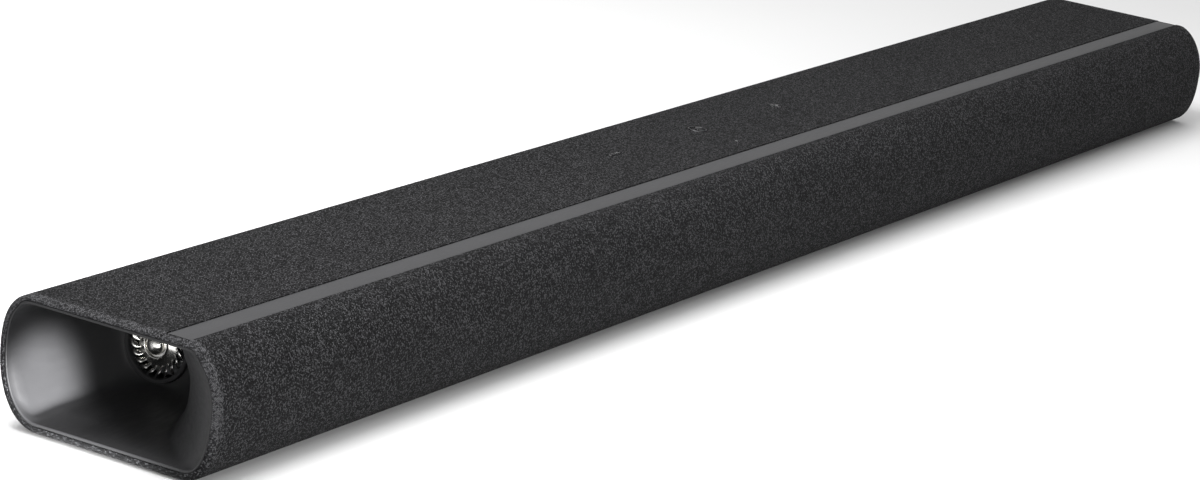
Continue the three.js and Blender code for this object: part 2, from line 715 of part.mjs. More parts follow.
// A figure-eight inlet: a mouth with round ends and two contact pins.
function mainsInlet(body, x, { mouth, depth }) {
  const floor = SOCKET_FACE_Y - depth;
  const hollow = alongY(
    roundedRectangle(x, SOCKET_Z, mouth[0], mouth[1], mouth[1] / 2 - 0.01), floor, SOCKET_FACE_Y + 5);
  const pins = [-1, 1].map((side) => alongY(
    circle(x + side * 4.4, SOCKET_Z, 1.2), floor - 1, SOCKET_FACE_Y - 2.5, 3));
  return joined([without(body, hollow), ...pins]);
}

function bracketInsert(side) {
  const faceY = DEPTH / 2 - 0.2;
  const x = side * INSERT.x;
  const rearY = faceY - INSERT.length;
  const plug = alongY(circle(x, INSERT.z, INSERT.radius), rearY, faceY, INSERT_ROUNDNESS);
  const floorY = faceY - INSERT.boreDepth;
  const bore = alongY(circle(x, INSERT.z, INSERT.boreRadius), floorY, DEPTH, INSERT_ROUNDNESS);
  return without(plug, bore);
}

// ---------------------------------------------------------------- materials
const finish = (color, roughness, metalness = 0) => new THREE.MeshStandardMaterial({
  color,
  roughness,
  metalness,
  flatShading: true,
});
const CLOTH = finish(0x3a3b3d, 0.95);
const SATIN_GREY = finish(0x626366, 0.4, 0.3);
const BLACK_PLASTIC = finish(0x1b1b1d, 0.5);
const HORN_PLASTIC = finish(0x232325, 0.35);
const SILVER = finish(0xc8cacc, 0.25, 1);
const PAPER_CONE = finish(0x2a2a2c, 0.8);
const SILK = finish(0x1d1d20, 0.6);
const RUBBER = finish(0x121212, 0.9);
const STEEL = finish(0x9a9ca0, 0.35, 1);
const BOARD = finish(0x1d4a31, 0.6);
const ALUMINIUM = finish(0xa9abad, 0.4, 1);
const BRASS = finish(0xb08d4a, 0.35, 1);

// ---------------------------------------------------------------- assembly
const soundbar = new THREE.Group();

function place(name, piece, material) {
  const mesh = new THREE.Mesh(geometryOf(piece), material);
  mesh.name = name;
  soundbar.add(mesh);
}

place('cloth_sleeve', clothSleeve(), CLOTH);
place('trim_strip', trimStrip(), SATIN_GREY);
place('front_grille', frontGrille(), BLACK_PLASTIC);
place('rear_housing', rearHousing(), BLACK_PLASTIC);
place('front_baffle', frontBaffle(), BLACK_PLASTIC);
place('base_panel', basePanel(), BLACK_PLASTIC);
for (const spot of CORNERS) {
  place(`foot_${spot.name}`, foot(spot), RUBBER);
  place(`base_screw_${spot.name}`, baseScrew(spot), STEEL);
}

const horn = leftHorn();
const phasePlug = leftPhasePlug();
const tweeterMotor = leftTweeter(TWEETER_MOTOR, TWEETER_SEGMENTS);
const tweeterDome = leftTweeter(TWEETER_DOME, TWEETER_SEGMENTS);
place('horn_left', horn, HORN_PLASTIC);
place('horn_right', mirrored(horn), HORN_PLASTIC);
place('phase_plug_left', phasePlug, SILVER);
place('phase_plug_right', mirrored(phasePlug), SILVER);
place('tweeter_motor_left', tweeterMotor, STEEL);
place('tweeter_motor_right', mirrored(tweeterMotor), STEEL);
place('tweeter_motor_centre', frontDriver(TWEETER_MOTOR, 0, TWEETER_SEGMENTS), STEEL);
place('tweeter_dome_left', tweeterDome, SILK);
place('tweeter_dome_right', mirrored(tweeterDome), SILK);
place('tweeter_dome_centre', frontDriver(TWEETER_DOME, 0, TWEETER_SEGMENTS), SILK);

const wooferX = [...WOOFER_X.map((x) => -x).reverse(), ...WOOFER_X];
wooferX.forEach((x, i) => {
  place(`woofer_frame_${i + 1}`, frontDriver(WOOFER_FRAME, x, WOOFER_SEGMENTS), STEEL);
  place(`woofer_cone_${i + 1}`, frontDriver(WOOFER_CONE, x, WOOFER_SEGMENTS), PAPER_CONE);
});

for (const key of KEYS) place(key.name, keyCap(key), BLACK_PLASTIC);
place('key_board', keyBoard(), BOARD);
place('main_board', mainBoard(), BOARD);
place('amplifier_heat_sink', amplifierHeatSink(), ALUMINIUM);
place('power_supply_board', powerSupplyBoard(), BOARD);
place('display_module', displayModule(), BLACK_PLASTIC);
place('io_panel', ioPanel(), BLACK_PLASTIC);
for (const socket of SOCKETS) place(socket.name, rearSocket(socket), BLACK_PLASTIC);
place('bracket_insert_left', bracketInsert(-1), BRASS);
place('bracket_insert_right', bracketInsert(1), BRASS);

export default soundbar;
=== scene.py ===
import math

import bmesh
import bpy
import numpy as np
from mathutils import Matrix, Vector


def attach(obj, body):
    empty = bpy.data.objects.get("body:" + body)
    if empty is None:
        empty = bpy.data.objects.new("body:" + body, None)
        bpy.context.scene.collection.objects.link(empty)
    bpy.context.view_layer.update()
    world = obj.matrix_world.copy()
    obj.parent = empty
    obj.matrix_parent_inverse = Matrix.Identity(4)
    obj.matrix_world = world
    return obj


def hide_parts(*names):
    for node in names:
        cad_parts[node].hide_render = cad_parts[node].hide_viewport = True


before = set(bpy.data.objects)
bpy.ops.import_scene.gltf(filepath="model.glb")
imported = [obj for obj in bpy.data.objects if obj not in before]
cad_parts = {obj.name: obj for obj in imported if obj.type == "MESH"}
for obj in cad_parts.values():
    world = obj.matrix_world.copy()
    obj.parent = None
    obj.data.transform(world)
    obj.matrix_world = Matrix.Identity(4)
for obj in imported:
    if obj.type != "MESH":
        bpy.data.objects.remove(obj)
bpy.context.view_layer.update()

UP = (0, 0, 1)
BACK = (0, 1, 0)
MM = 0.001  # shapes are written in millimetres and made in metres

# ---- dimensions of the bar, as in the CAD
LENGTH = 1120
HALF_LENGTH = LENGTH / 2
HALF_DEPTH = 125 / 2
TOP_Z = 65
BODY_Z = 0.6
CORNER_REACH = {"front_top": 19.5, "front_bottom": 20, "rear_bottom": 24.5, "rear_top": 19}
CORNER_POWER = {"front_top": 1.8, "front_bottom": 2.6, "rear_bottom": 2.1, "rear_top": 2.5}
FRONT_WIDEST_Z = 36
REAR_WIDEST_Z = 38.4
CORNER_STEPS = 20
FLAT_STEPS = 14
COARSE_CORNER_STEPS = 6  # points of one corner in the CAD's outline, which set how the horn twists
COARSE_POINTS = 26
REAR_CORNER_NUMBER = 20  # the coarse point where the lower rear corner begins

CLOTH_THICKNESS = 0.8
RIM_ROUND = 3.2
HORN_OUTER = 3.9
STRIP_FRONT_Y = -40.7
STRIP_REAR_Y = -27.3
GAP = 0.3
STRIP_RECESS = 0.3
STRIP_THICKNESS = 0.5
STRIP_EDGE = 0.22
STRIP_CROWN = 0.05
STRIP_END = 5.5

KEY_X = 92
KEY_Y = 14.2
KEY_CLEARANCE = 0.55
SOURCE_KEY = {"outer": 5.6, "inner": 4.5, "dot": 1.3}
KEY_REACH = {"minus": 5.2, "plus": 4.0}
KEY_BAR_WIDTH = 2.6
KEY_HEIGHT = 0.4

SOCKET_FACE_Y = 39.2
SOCKET_Z = 31
SOCKET_X = {"mains": -70, "optical": -34, "network": -6, "video_in": 30, "video_out": 66}
STATUS_LIGHT = (-3.9, -13.5, TOP_Z)
FOOT = {"x": 395, "y": 17, "length": 46, "width": 12, "top": 1.4}
SCREW = {"x": 330, "y": 21, "head_z": 1.0, "head": 3.2, "shank": 1.5, "length": 9}
INSERT = {"x": 330, "z": 38.4, "radius": 4.2, "bore": 2.1, "face_y": 62.3, "length": 9, "bore_depth": 7}


# ---- materials
class Net:
    """A material being built: adds nodes to its tree and joins them."""

    def __init__(self, name):
        self.material = bpy.data.materials.new(name)
        self.material.use_nodes = True
        self.tree = self.material.node_tree
        self.shader = self.tree.nodes["Principled BSDF"]

    def feed(self, socket, value):
        if isinstance(value, bpy.types.NodeSocket):
            self.tree.links.new(value, socket)
        else:
            socket.default_value = value

    def add(self, kind, settings=(), **inputs):
        node = self.tree.nodes.new("ShaderNode" + kind)
        for key, value in dict(settings).items():
            setattr(node, key, value)
        for key, value in inputs.items():
            self.feed(node.inputs[key.replace("_", " ")], value)
        return node

    def math(self, operation, *values):
        node = self.add("Math", {"operation": operation})
        for socket, value in zip(node.inputs, values):
            self.feed(socket, value)
        return node.outputs[0]

    def scaled(self, vector, scale):
        node = self.add("VectorMath", {"operation": "MULTIPLY"})
        self.feed(node.inputs[0], vector)
        self.feed(node.inputs[1], scale)
        return node.outputs[0]

    def noise(self, vector, size, detail=2.0, rough=0.5):
        """Noise whose features are about size millimetres, where vector is in metres."""
        node = self.add("TexNoise", Vector=vector, Scale=1 / (size * MM), Detail=detail, Roughness=rough)
        return node.outputs["Fac"]

    def white(self, x, y):
        both = self.add("CombineXYZ", X=x, Y=y).outputs[0]
        return self.add("TexWhiteNoise", {"noise_dimensions": "2D"}, Vector=both).outputs["Value"]

    def spread(self, value, low, high, to_low, to_high):
        node = self.add("MapRange", Value=value)
        for key, number in (("From Min", low), ("From Max", high), ("To Min", to_low), ("To Max", to_high)):
            node.inputs[key].default_value = number
        return node.outputs[0]

    def ramp(self, value, stops):
        node = self.add("ValToRGB", Fac=value)
        elements = node.color_ramp.elements
        while len(elements) < len(stops):
            elements.new(0.5)
        for element, (position, colour) in zip(elements, stops):
            element.position = position
            element.color = (*colour, 1)
        return node.outputs["Color"]

    def bump(self, height, depth, strength=1.0):
        """Relief of depth millimetres."""
        node = self.add("Bump", Height=height, Distance=depth * MM, Strength=strength)
        self.feed(self.shader.inputs["Normal"], node.outputs[0])

    def shade(self, **inputs):
        for key, value in inputs.items():
            self.feed(self.shader.inputs[key.replace("_", " ")], value)
        return self.material


def tone(colour, factor):
    return tuple(min(1.0, channel * factor) for channel in colour)


def moulded(name, colour, roughness, grain=0.5, relief=0.02, vary=0.16, metallic=0.0, specular=0.5):
    """Moulded plastic, painted or plain metal: a fine grain, slow mottling and faint scuffs."""
    net = Net(name)
    place = net.add("TexCoord").outputs["Object"]
    fine = net.noise(place, grain, 3, 0.6)
    slow = net.noise(place, grain * 60, 3)
    both = net.math("ADD", net.math("MULTIPLY", fine, 0.45), net.math("MULTIPLY", slow, 0.55))
    base = net.ramp(both, [(0.3, tone(colour, 1 - vary)), (0.5, colour), (0.7, tone(colour, 1 + vary))])
    net.bump(fine, relief)
    scuff = net.noise(net.scaled(place, (0.25, 1, 1)), grain * 9, 4, 0.7)
    rough = net.spread(scuff, 0.3, 0.7, roughness - 0.07, min(1.0, roughness + 0.07))
    return net.shade(Base_Color=base, Roughness=rough, Metallic=metallic, Specular_IOR_Level=specular)


def brushed(name, colour, roughness, metallic, along=(0.02, 1, 1), grain=0.16, relief=0.004, vary=0.1):
    """Metal or paint with fine lines along one direction."""
    net = Net(name)
    place = net.add("TexCoord").outputs["Object"]
    lines = net.noise(net.scaled(place, along), grain, 4, 0.65)
    slow = net.noise(place, 30, 3)
    both = net.math("ADD", net.math("MULTIPLY", lines, 0.7), net.math("MULTIPLY", slow, 0.3))
    base = net.ramp(both, [(0.32, tone(colour, 1 - vary)), (0.5, colour), (0.68, tone(colour, 1 + vary))])
    net.bump(lines, relief)
    rough = net.spread(lines, 0.3, 0.7, roughness - 0.06, roughness + 0.08)
    return net.shade(Base_Color=base, Roughness=rough, Metallic=metallic)


# How the cloth is woven, in millimetres along its face. The ribs of the twill run up the cloth at a slant.
RIB_PITCH = 0.74
STITCH_LENGTH = 0.7
RIB_WOBBLE = 0.9  # how far the ribs wander, in pitches
RIB_ALONG = (0.78, -0.63)
RIB_ACROSS = (0.63, 0.78)
MEAN_TINT = 0.4  # of the dyed yarns, from 0 to 1
RIM_LIGHT_BAND = (5, 2.5)  # from the bar's end: where the painted sheen and shade round the mouth's rim begin and are full


def cloth_material():
    net = Net("melange_twill")
    place = net.add("UVMap", {"uv_map": "weave"}).outputs[0]
    split = net.add("SeparateXYZ", Vector=place).outputs
    u = net.math("DIVIDE", split["X"], MM)
    v = net.math("DIVIDE", split["Y"], MM)

    def slanted(direction, size):
        both = net.math("ADD", net.math("MULTIPLY", u, direction[0]), net.math("MULTIPLY", v, direction[1]))
        return net.math("DIVIDE", both, size)

    wobble = net.math("MULTIPLY", net.math("SUBTRACT", net.noise(place, 5, 2), 0.5), RIB_WOBBLE)
    across = net.math("ADD", slanted(RIB_ACROSS, RIB_PITCH), wobble)
    rib = net.math("FLOOR", across)
    along = net.math("ADD", slanted(RIB_ALONG, STITCH_LENGTH), net.math("MULTIPLY", rib, 0.5))
    stitch = net.math("FLOOR", along)
    rib_round = net.math("SINE", net.math("MULTIPLY", net.math("FRACT", across), math.pi))
    stitch_round = net.math("SINE", net.math("MULTIPLY", net.math("FRACT", along), math.pi))
    stitch_lift = net.math("ADD", net.math("MULTIPLY", net.math("POWER", stitch_round, 0.6), 0.45), 0.55)
    height = net.math("MULTIPLY", net.math("POWER", rib_round, 0.7), stitch_lift)

    dyed = net.white(stitch, rib)
    fleck = net.math("POWER", dyed, 6.0)
    fibre = net.noise(net.scaled(place, (1, 0.6, 1)), 0.7, 2, 0.7)
    cloud = net.noise(place, 4, 3, 0.6)
    drift = net.noise(place, 60, 2, 0.5)
    parts = ((dyed, 0.47), (fleck, 0.18), (fibre, 0.24), (cloud, 0.07), (drift, 0.07))
    tint = 0.0
    for part, weight in parts:
        tint = net.math("ADD", tint, net.math("MULTIPLY", part, weight))
    # Darker where the yarns dip between the ribs and stitches: painted shade in the weave's gaps.
    tint = net.math("MULTIPLY", tint, net.math("ADD", net.math("MULTIPLY", height, 0.75), 0.45))
    # Painted light round the mouth's rims: the band is lighter high up (painted sheen) and darker low down
    # and towards the rear (painted shade).
    spot = net.add("SeparateXYZ", Vector=net.add("TexCoord").outputs["Object"]).outputs
    rim_sheen_and_shade = net.spread(spot["Z"], 5 * MM, 26 * MM, 0.78, 1.6)
    rearness = net.math("SUBTRACT", spot["Y"], net.math("MULTIPLY", spot["Z"], 0.5))
    rim_sheen_and_shade = net.math("MULTIPLY", rim_sheen_and_shade, net.spread(rearness, 34 * MM, 46 * MM, 1.0, 0.62))
    starts, full = (HALF_LENGTH - distance for distance in RIM_LIGHT_BAND)
    rim = net.spread(net.math("ABSOLUTE", u), starts, full, 0.0, 1.0)
    lift = net.math("MULTIPLY", net.math("SUBTRACT", rim_sheen_and_shade, 1.0), MEAN_TINT)
    tint = net.math("ADD", tint, net.math("MULTIPLY", rim, lift))
    base = net.ramp(tint, [
        (0.08, (0.0010, 0.0010, 0.0011)),
        (0.28, (0.0038, 0.0038, 0.0041)),
        (0.50, (0.0145, 0.0145, 0.0154)),
        (0.85, (0.0720, 0.0720, 0.0756)),
    ])
    net.bump(net.math("ADD", height, net.math("MULTIPLY", fibre, 0.5)), 0.25, 0.8)
    return net.shade(
        Base_Color=base, Roughness=0.95, Specular_IOR_Level=0.08,
        Sheen_Weight=0.015, Sheen_Roughness=0.5)


def board_material():
    """Green solder mask with copper tracks and pads under it."""
    net = Net("circuit_board")
    place = net.add("TexCoord").outputs["Object"]
    tracks = net.add("TexBrick", {"offset": 0.35}, Vector=place, Scale=160.0, Mortar_Size=0.09)
    fine = net.noise(place, 1.2, 3)
    laid = net.math("GREATER_THAN", net.noise(place, 6, 2), 0.5)
    copper = net.math("MULTIPLY", tracks.outputs["Fac"], laid)
    mask = net.ramp(fine, [(0.3, (0.008, 0.05, 0.022)), (0.7, (0.014, 0.085, 0.036))])
    mix = net.add("Mix", {"data_type": "RGBA"}, Factor=copper)
    mix.inputs[6].default_value = (0, 0, 0, 1)
    net.feed(mix.inputs[6], mask)
    mix.inputs[7].default_value = (0.05, 0.2, 0.07, 1)
    net.bump(copper, 0.04)
    return net.shade(Base_Color=mix.outputs[2], Roughness=net.spread(fine, 0.3, 0.7, 0.35, 0.5))


def cone_material():
    """Pressed paper pulp: mottled fibres."""
    net = Net("paper_cone")
    place = net.add("TexCoord").outputs["Object"]
    fibre = net.noise(net.scaled(place, (1, 1, 0.4)), 0.8, 5, 0.75)
    base = net.ramp(fibre, [
        (0.3, (0.014, 0.014, 0.015)),
        (0.55, (0.03, 0.03, 0.032)),
        (0.8, (0.06, 0.06, 0.06)),
    ])
    net.bump(fibre, 0.08)
    return net.shade(Base_Color=base, Roughness=net.spread(fibre, 0.3, 0.7, 0.7, 0.9))


def silk_material():
    """Coated silk: a tight square weave under lacquer."""
    net = Net("dome_silk")
    place = net.add("TexCoord").outputs["Object"]
    one = net.add("TexWave", {"bands_direction": "Y"}, Vector=place, Scale=900.0).outputs["Fac"]
    two = net.add("TexWave", {"bands_direction": "Z"}, Vector=place, Scale=900.0).outputs["Fac"]
    weave = net.math("MULTIPLY", one, two)
    base = net.ramp(weave, [(0.0, (0.012, 0.012, 0.014)), (1.0, (0.032, 0.032, 0.036))])
    net.bump(weave, 0.03)
    return net.shade(Base_Color=base, Roughness=net.spread(net.noise(place, 1.5), 0.3, 0.7, 0.4, 0.6))


CLOTH = cloth_material()
STRIP = brushed("satin_grey_strip", (0.043, 0.043, 0.045), 0.34, 0.0, vary=0.14)
HORN = moulded(
    "horn_satin_black", (0.022, 0.022, 0.023), 0.5, grain=0.35, relief=0.008, vary=0.14, specular=0.2)
HOUSING = moulded("housing_black", (0.013, 0.013, 0.014), 0.5, grain=0.6, relief=0.03)
SOCKET = moulded("socket_black", (0.008, 0.008, 0.009), 0.42, grain=0.4)
KEY = moulded("key_soft_black", (0.009, 0.009, 0.010), 0.26, grain=0.3, relief=0.02)
RUBBER = moulded("foot_rubber", (0.016, 0.016, 0.016), 0.82, grain=0.25, relief=0.05)
SILVER = moulded(
    "plug_silver", (0.80, 0.79, 0.76), 0.17, grain=0.5, relief=0.001, vary=0.05, metallic=1.0)
DRIVER_STEEL = moulded("driver_steel", (0.28, 0.28, 0.29), 0.4, grain=0.8, relief=0.01, metallic=1.0)
SCREW_STEEL = moulded("screw_steel", (0.10, 0.10, 0.105), 0.36, grain=0.3, relief=0.01, metallic=1.0)
ALUMINIUM = brushed("heat_sink_aluminium", (0.62, 0.63, 0.64), 0.36, 1.0, along=(1, 0.03, 1))
BRASS = moulded("insert_brass", (0.55, 0.38, 0.13), 0.33, grain=0.4, relief=0.008, metallic=1.0)
GOLD = moulded("contact_gold", (0.80, 0.56, 0.20), 0.25, grain=0.2, relief=0.003, metallic=1.0)
PLATED = moulded("plated_shell", (0.55, 0.56, 0.57), 0.28, grain=0.5, relief=0.004, metallic=1.0)
LENS = moulded("light_lens", (0.07, 0.07, 0.072), 0.4, grain=0.2, relief=0.004)
TAPE = moulded("winding_tape", (0.42, 0.26, 0.035), 0.45, grain=0.4)
SLEEVE = moulded("can_sleeve", (0.012, 0.016, 0.035), 0.35, grain=0.3)
BOARD = board_material()
CONE = cone_material()
SILK = silk_material()


# ---- meshes
def placed(name, data):
    """A new object in the scene."""
    obj = bpy.data.objects.new(name, data)
    bpy.context.scene.collection.objects.link(obj)
    return obj


def piece(name, points, faces, material, body="bar", slot=None, replaces=(), sharp=32, uv=None):
    """A mesh object from points in millimetres. uv gives each point's place on the cloth."""
    mesh = bpy.data.meshes.new(name)
    places = [tuple(p) for p in np.asarray(points, float) * MM]
    mesh.from_pydata(places, [], [tuple(map(int, face)) for face in faces])
    if uv is not None:
        corners = np.zeros(len(mesh.loops), int)
        mesh.loops.foreach_get("vertex_index", corners)
        mesh.uv_layers.new(name="weave").data.foreach_set("uv", np.asarray(uv)[corners].ravel())
    mesh.materials.append(material)
    obj = placed(name, mesh)
    outward(mesh)
    smooth(mesh, sharp)
    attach(obj, body)
    if replaces:
        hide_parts(*replaces)
    return obj


def outward(mesh):
    edit = bmesh.new()
    edit.from_mesh(mesh)
    bmesh.ops.recalc_face_normals(edit, faces=edit.faces)
    edit.to_mesh(mesh)
    edit.free()


def smooth(mesh, angle):
    mesh.polygons.foreach_set("use_smooth", [True] * len(mesh.polygons))
    mesh.set_sharp_from_angle(angle=math.radians(angle))


def lattice(rows, columns, start=0, wrap_rows=False, wrap_columns=False):
    """Quads over a grid of points numbered row by row."""
    faces = []
    for i in range(rows if wrap_rows else rows - 1):
        for j in range(columns if wrap_columns else columns - 1):
            a, b = i * columns, (i + 1) % rows * columns
            k = (j + 1) % columns
            faces.append((start + a + j, start + a + k, start + b + k, start + b + j))
    return faces


def layer_faces(rows, columns):
    """The faces of a closed sheet: one grid of points, and the grid of its other side after it."""
    size = rows * columns
    faces = lattice(rows, columns)
    faces += [tuple(reversed([size + i for i in face])) for face in lattice(rows, columns)]
    last = size - columns
    for j in range(columns - 1):
        faces.append((j + 1, j, size + j, size + j + 1))
        faces.append((last + j, last + j + 1, size + last + j + 1, size + last + j))
    for i in range(rows - 1):
        a, b = i * columns, (i + 1) * columns
        faces.append((a, b, size + b, size + a))
        faces.append((b + columns - 1, a + columns - 1, size + a + columns - 1, size + b + columns - 1))
    return faces


def joined(*parts):
    """Several (points, faces) as one."""
    points, faces = [], []
    for more_points, more_faces in parts:
        start = len(points)
        points.extend(more_points)
        faces.extend(tuple(start + i for i in face) for face in more_faces)
    return points, faces


def revolved(profile, segments, axis, centre):
    """A closed profile of (radius, along) turned about an axis through centre; radius 0 makes a pole."""
    axis = Vector(axis).normalized()
    side = axis.orthogonal().normalized()
    other = axis.cross(side)
    points, rings = [], []
    for radius, along in profile:
        count = 1 if radius < 1e-6 else segments
        rings.append(list(range(len(points), len(points) + count)))
        for k in range(count):
            turn = 2 * math.pi * k / segments
            outwards = side * math.cos(turn) + other * math.sin(turn)
            points.append(Vector(centre) + axis * along + outwards * radius)
    faces = []
    closed = profile[0][0] > 1e-6
    for i in range(len(rings) if closed else len(rings) - 1):
        one, two = rings[i], rings[(i + 1) % len(rings)]
        for k in range(segments):
            after = k + 1
            quad = [one[k % len(one)], one[after % len(one)], two[after % len(two)], two[k % len(two)]]
            face = list(dict.fromkeys(quad))
            if len(face) > 2:
                faces.append(tuple(face))
    return points, faces


def mirrored(part):
    points, faces = part
    return [(-p[0], p[1], p[2]) for p in points], [tuple(reversed(face)) for face in faces]


def both_ends(name, part, material, slot, replaces, sharp):
    """A part of the left end and its mirror image at the right end. {} in the names stands for the side."""
    for side, shape in (("left", part), ("right", mirrored(part))):
        stands_for = [node.format(side) for node in replaces]
        piece(name.format(side), *shape, material, slot=slot, replaces=stands_for, sharp=sharp)


def stadium(length, width, steps=10):
    """Points of a bar with round ends, in (x, y), along x."""
    radius = width / 2
    reach = length / 2 - radius
    points = []
    for side, start in ((1, -0.5), (-1, 0.5)):
        for k in range(steps + 1):
            turn = math.pi * (start + k / steps)
            points.append((side * reach + radius * math.cos(turn), radius * math.sin(turn)))
    return np.array(points)


def circle(radius, count):
    turn = np.arange(count) / count * 2 * math.pi
    return radius * np.stack([np.cos(turn), np.sin(turn)], axis=1)


def four_times(arm):
    """An arm's points, repeated at every quarter turn."""
    points = []
    for quarter in range(4):
        c, s = math.cos(quarter * math.pi / 2), math.sin(quarter * math.pi / 2)
        points += [(c * x - s * y, s * x + c * y) for x, y in arm]
    return np.array(points)


def soft_edge(radius):
    """(inset, rise) over a rounded edge, up to its top."""
    turns = np.linspace(0, math.pi / 2, 5)
    return [(radius * (1 - math.cos(t)), -radius * (1 - math.sin(t))) for t in turns]


def rounded_rectangle(width, height, radius, steps=6):
    points = []
    for k, (sx, sy) in enumerate(((1, 1), (-1, 1), (-1, -1), (1, -1))):
        for i in range(steps + 1):
            turn = math.pi / 2 * (k + i / steps)
            points.append((
                sx * (width / 2 - radius) + radius * math.cos(turn),
                sy * (height / 2 - radius) + radius * math.sin(turn)))
    return np.array(points)


def offset(outline_points, inset):
    """A closed outline moved inwards, in its own plane. The outline runs counter-clockwise."""
    before = outline_points - np.roll(outline_points, 1, axis=0)
    after = np.roll(outline_points, -1, axis=0) - outline_points
    before /= np.linalg.norm(before, axis=1)[:, None]
    after /= np.linalg.norm(after, axis=1)[:, None]
    inwards = np.stack([-before[:, 1] - after[:, 1], before[:, 0] + after[:, 0]], axis=1)
    inwards /= np.linalg.norm(inwards, axis=1)[:, None]
    stretch = np.sqrt(np.maximum(0.25, (1 + (before * after).sum(1)) / 2))
    return outline_points + inwards * (inset / stretch)[:, None]


def stacked(levels, place):
    """A closed solid through outlines of equal length. place turns (a, b, level) into a point."""
    count = len(levels[0][0])
    points = [place(a, b, level) for outline_points, level in levels for a, b in outline_points]
    faces = lattice(len(levels), count, wrap_columns=True)
    faces.append(tuple(reversed(range(count))))
    faces.append(tuple(range((len(levels) - 1) * count, len(levels) * count)))
    return points, faces


def upright(cx, cy):
    return lambda a, b, level: (cx + a, cy + b, level)


def rearward(cx, cz):
    return lambda a, b, level: (cx - a, level, cz + b)


# ---- cross-section of the bar
def corner(cy, cz, reach, rise, power, quarter):
    turn = (quarter + np.arange(CORNER_STEPS) / CORNER_STEPS) * math.pi / 2
    across, up = np.cos(turn), np.sin(turn)
    return np.stack([
        cy + reach * np.sign(across) * np.abs(across) ** (2 / power),
        cz + rise * np.sign(up) * np.abs(up) ** (2 / power),
    ], axis=1)


def outer_outline():
    """The outline in (y, z), counter-clockwise from the widest point of the rear.

    Each point also has a number, its place along the CAD's coarse outline.
    """
    reach, power = CORNER_REACH, CORNER_POWER
    front_rise, rear_rise = TOP_Z - FRONT_WIDEST_Z, TOP_Z - REAR_WIDEST_Z
    front_drop, rear_drop = FRONT_WIDEST_Z - BODY_Z, REAR_WIDEST_Z - BODY_Z
    steps = np.arange(CORNER_STEPS) / CORNER_STEPS * COARSE_CORNER_STEPS
    flat = np.arange(FLAT_STEPS) / FLAT_STEPS

    def run(y0, y1, z):
        return np.stack([y0 + (y1 - y0) * flat, np.full(FLAT_STEPS, float(z))], axis=1)

    rear_top_y = HALF_DEPTH - reach["rear_top"]
    front_top_y = reach["front_top"] - HALF_DEPTH
    front_bottom_y = reach["front_bottom"] - HALF_DEPTH
    rear_bottom_y = HALF_DEPTH - reach["rear_bottom"]
    points = np.concatenate([
        corner(rear_top_y, REAR_WIDEST_Z, reach["rear_top"], rear_rise, power["rear_top"], 0),
        run(rear_top_y, front_top_y, TOP_Z),
        corner(front_top_y, FRONT_WIDEST_Z, reach["front_top"], front_rise, power["front_top"], 1),
        corner(front_bottom_y, FRONT_WIDEST_Z, reach["front_bottom"], front_drop, power["front_bottom"], 2),
        run(front_bottom_y, rear_bottom_y, BODY_Z),
        corner(rear_bottom_y, REAR_WIDEST_Z, reach["rear_bottom"], rear_drop, power["rear_bottom"], 3),
    ])
    numbers = np.concatenate([
        steps, 6 + flat, 7 + steps, 13 + steps, 19 + flat, REAR_CORNER_NUMBER + steps])
    return points, numbers


OUTLINE, OUTLINE_NUMBERS = outer_outline()


def inwards_of(points, closed=True):
    """Unit vectors that point into the bar, at each point of a counter-clockwise line in (y, z)."""
    if closed:
        along = np.roll(points, -1, axis=0) - np.roll(points, 1, axis=0)
    else:
        along = np.gradient(points, axis=0)
    inwards = np.stack([-along[:, 1], along[:, 0]], axis=1)
    return inwards / np.linalg.norm(inwards, axis=1)[:, None]


INWARDS = inwards_of(OUTLINE)
TOP_ROLL = 0.6  # the rims dip less along the top than round the rest of the mouth
TOP_ROLL_LENGTH = 5.4  # and over a longer stretch


def topness(inwards):
    """How far each point belongs to the flat top, from 0 to 1."""
    share = np.clip((-np.asarray(inwards)[:, 1] - 0.7) / 0.28, 0, 1)
    return share * share * (3 - 2 * share)


# ---- cloth
def rolled_rim(radius, steps=7):
    """(distance in from the bar's end, inset) of a skin over the rim, from its inside outwards."""
    edge = 0.4
    profile = [(0.95, RIM_ROUND + edge), (edge, RIM_ROUND + edge), (edge * 0.3, RIM_ROUND + edge * 0.7)]
    for k in range(steps + 1):
        turn = math.pi / 2 * k / steps
        profile.append((RIM_ROUND - radius * math.cos(turn), RIM_ROUND - radius * math.sin(turn)))
    return profile


def skin_stations(radius, middle_steps):
    """(x, inset) from one end of the bar to the other, where the roll over the rim has this radius."""
    rim = rolled_rim(radius)
    left = [(-HALF_LENGTH + across, inset) for across, inset in rim]
    right = [(-x, inset) for x, inset in reversed(left)]
    inner = HALF_LENGTH - RIM_ROUND
    middle = [(-inner + 2 * inner * k / middle_steps, left[-1][1]) for k in range(1, middle_steps)]
    return left + middle + right


def rolled_x(x, top):
    """Where a station within the roll moves to along the top, whose roll starts further in."""
    end = HALF_LENGTH - abs(x)
    if end > RIM_ROUND + 0.01:
        return x
    stretch = (TOP_ROLL_LENGTH / RIM_ROUND - 1) * top * (end / RIM_ROUND)
    return math.copysign(HALF_LENGTH - end * (1 + stretch), x)


def path_length(points):
    """How far along its path each point lies."""
    return np.concatenate([[0], np.cumsum(np.linalg.norm(np.diff(points, axis=0), axis=1))])


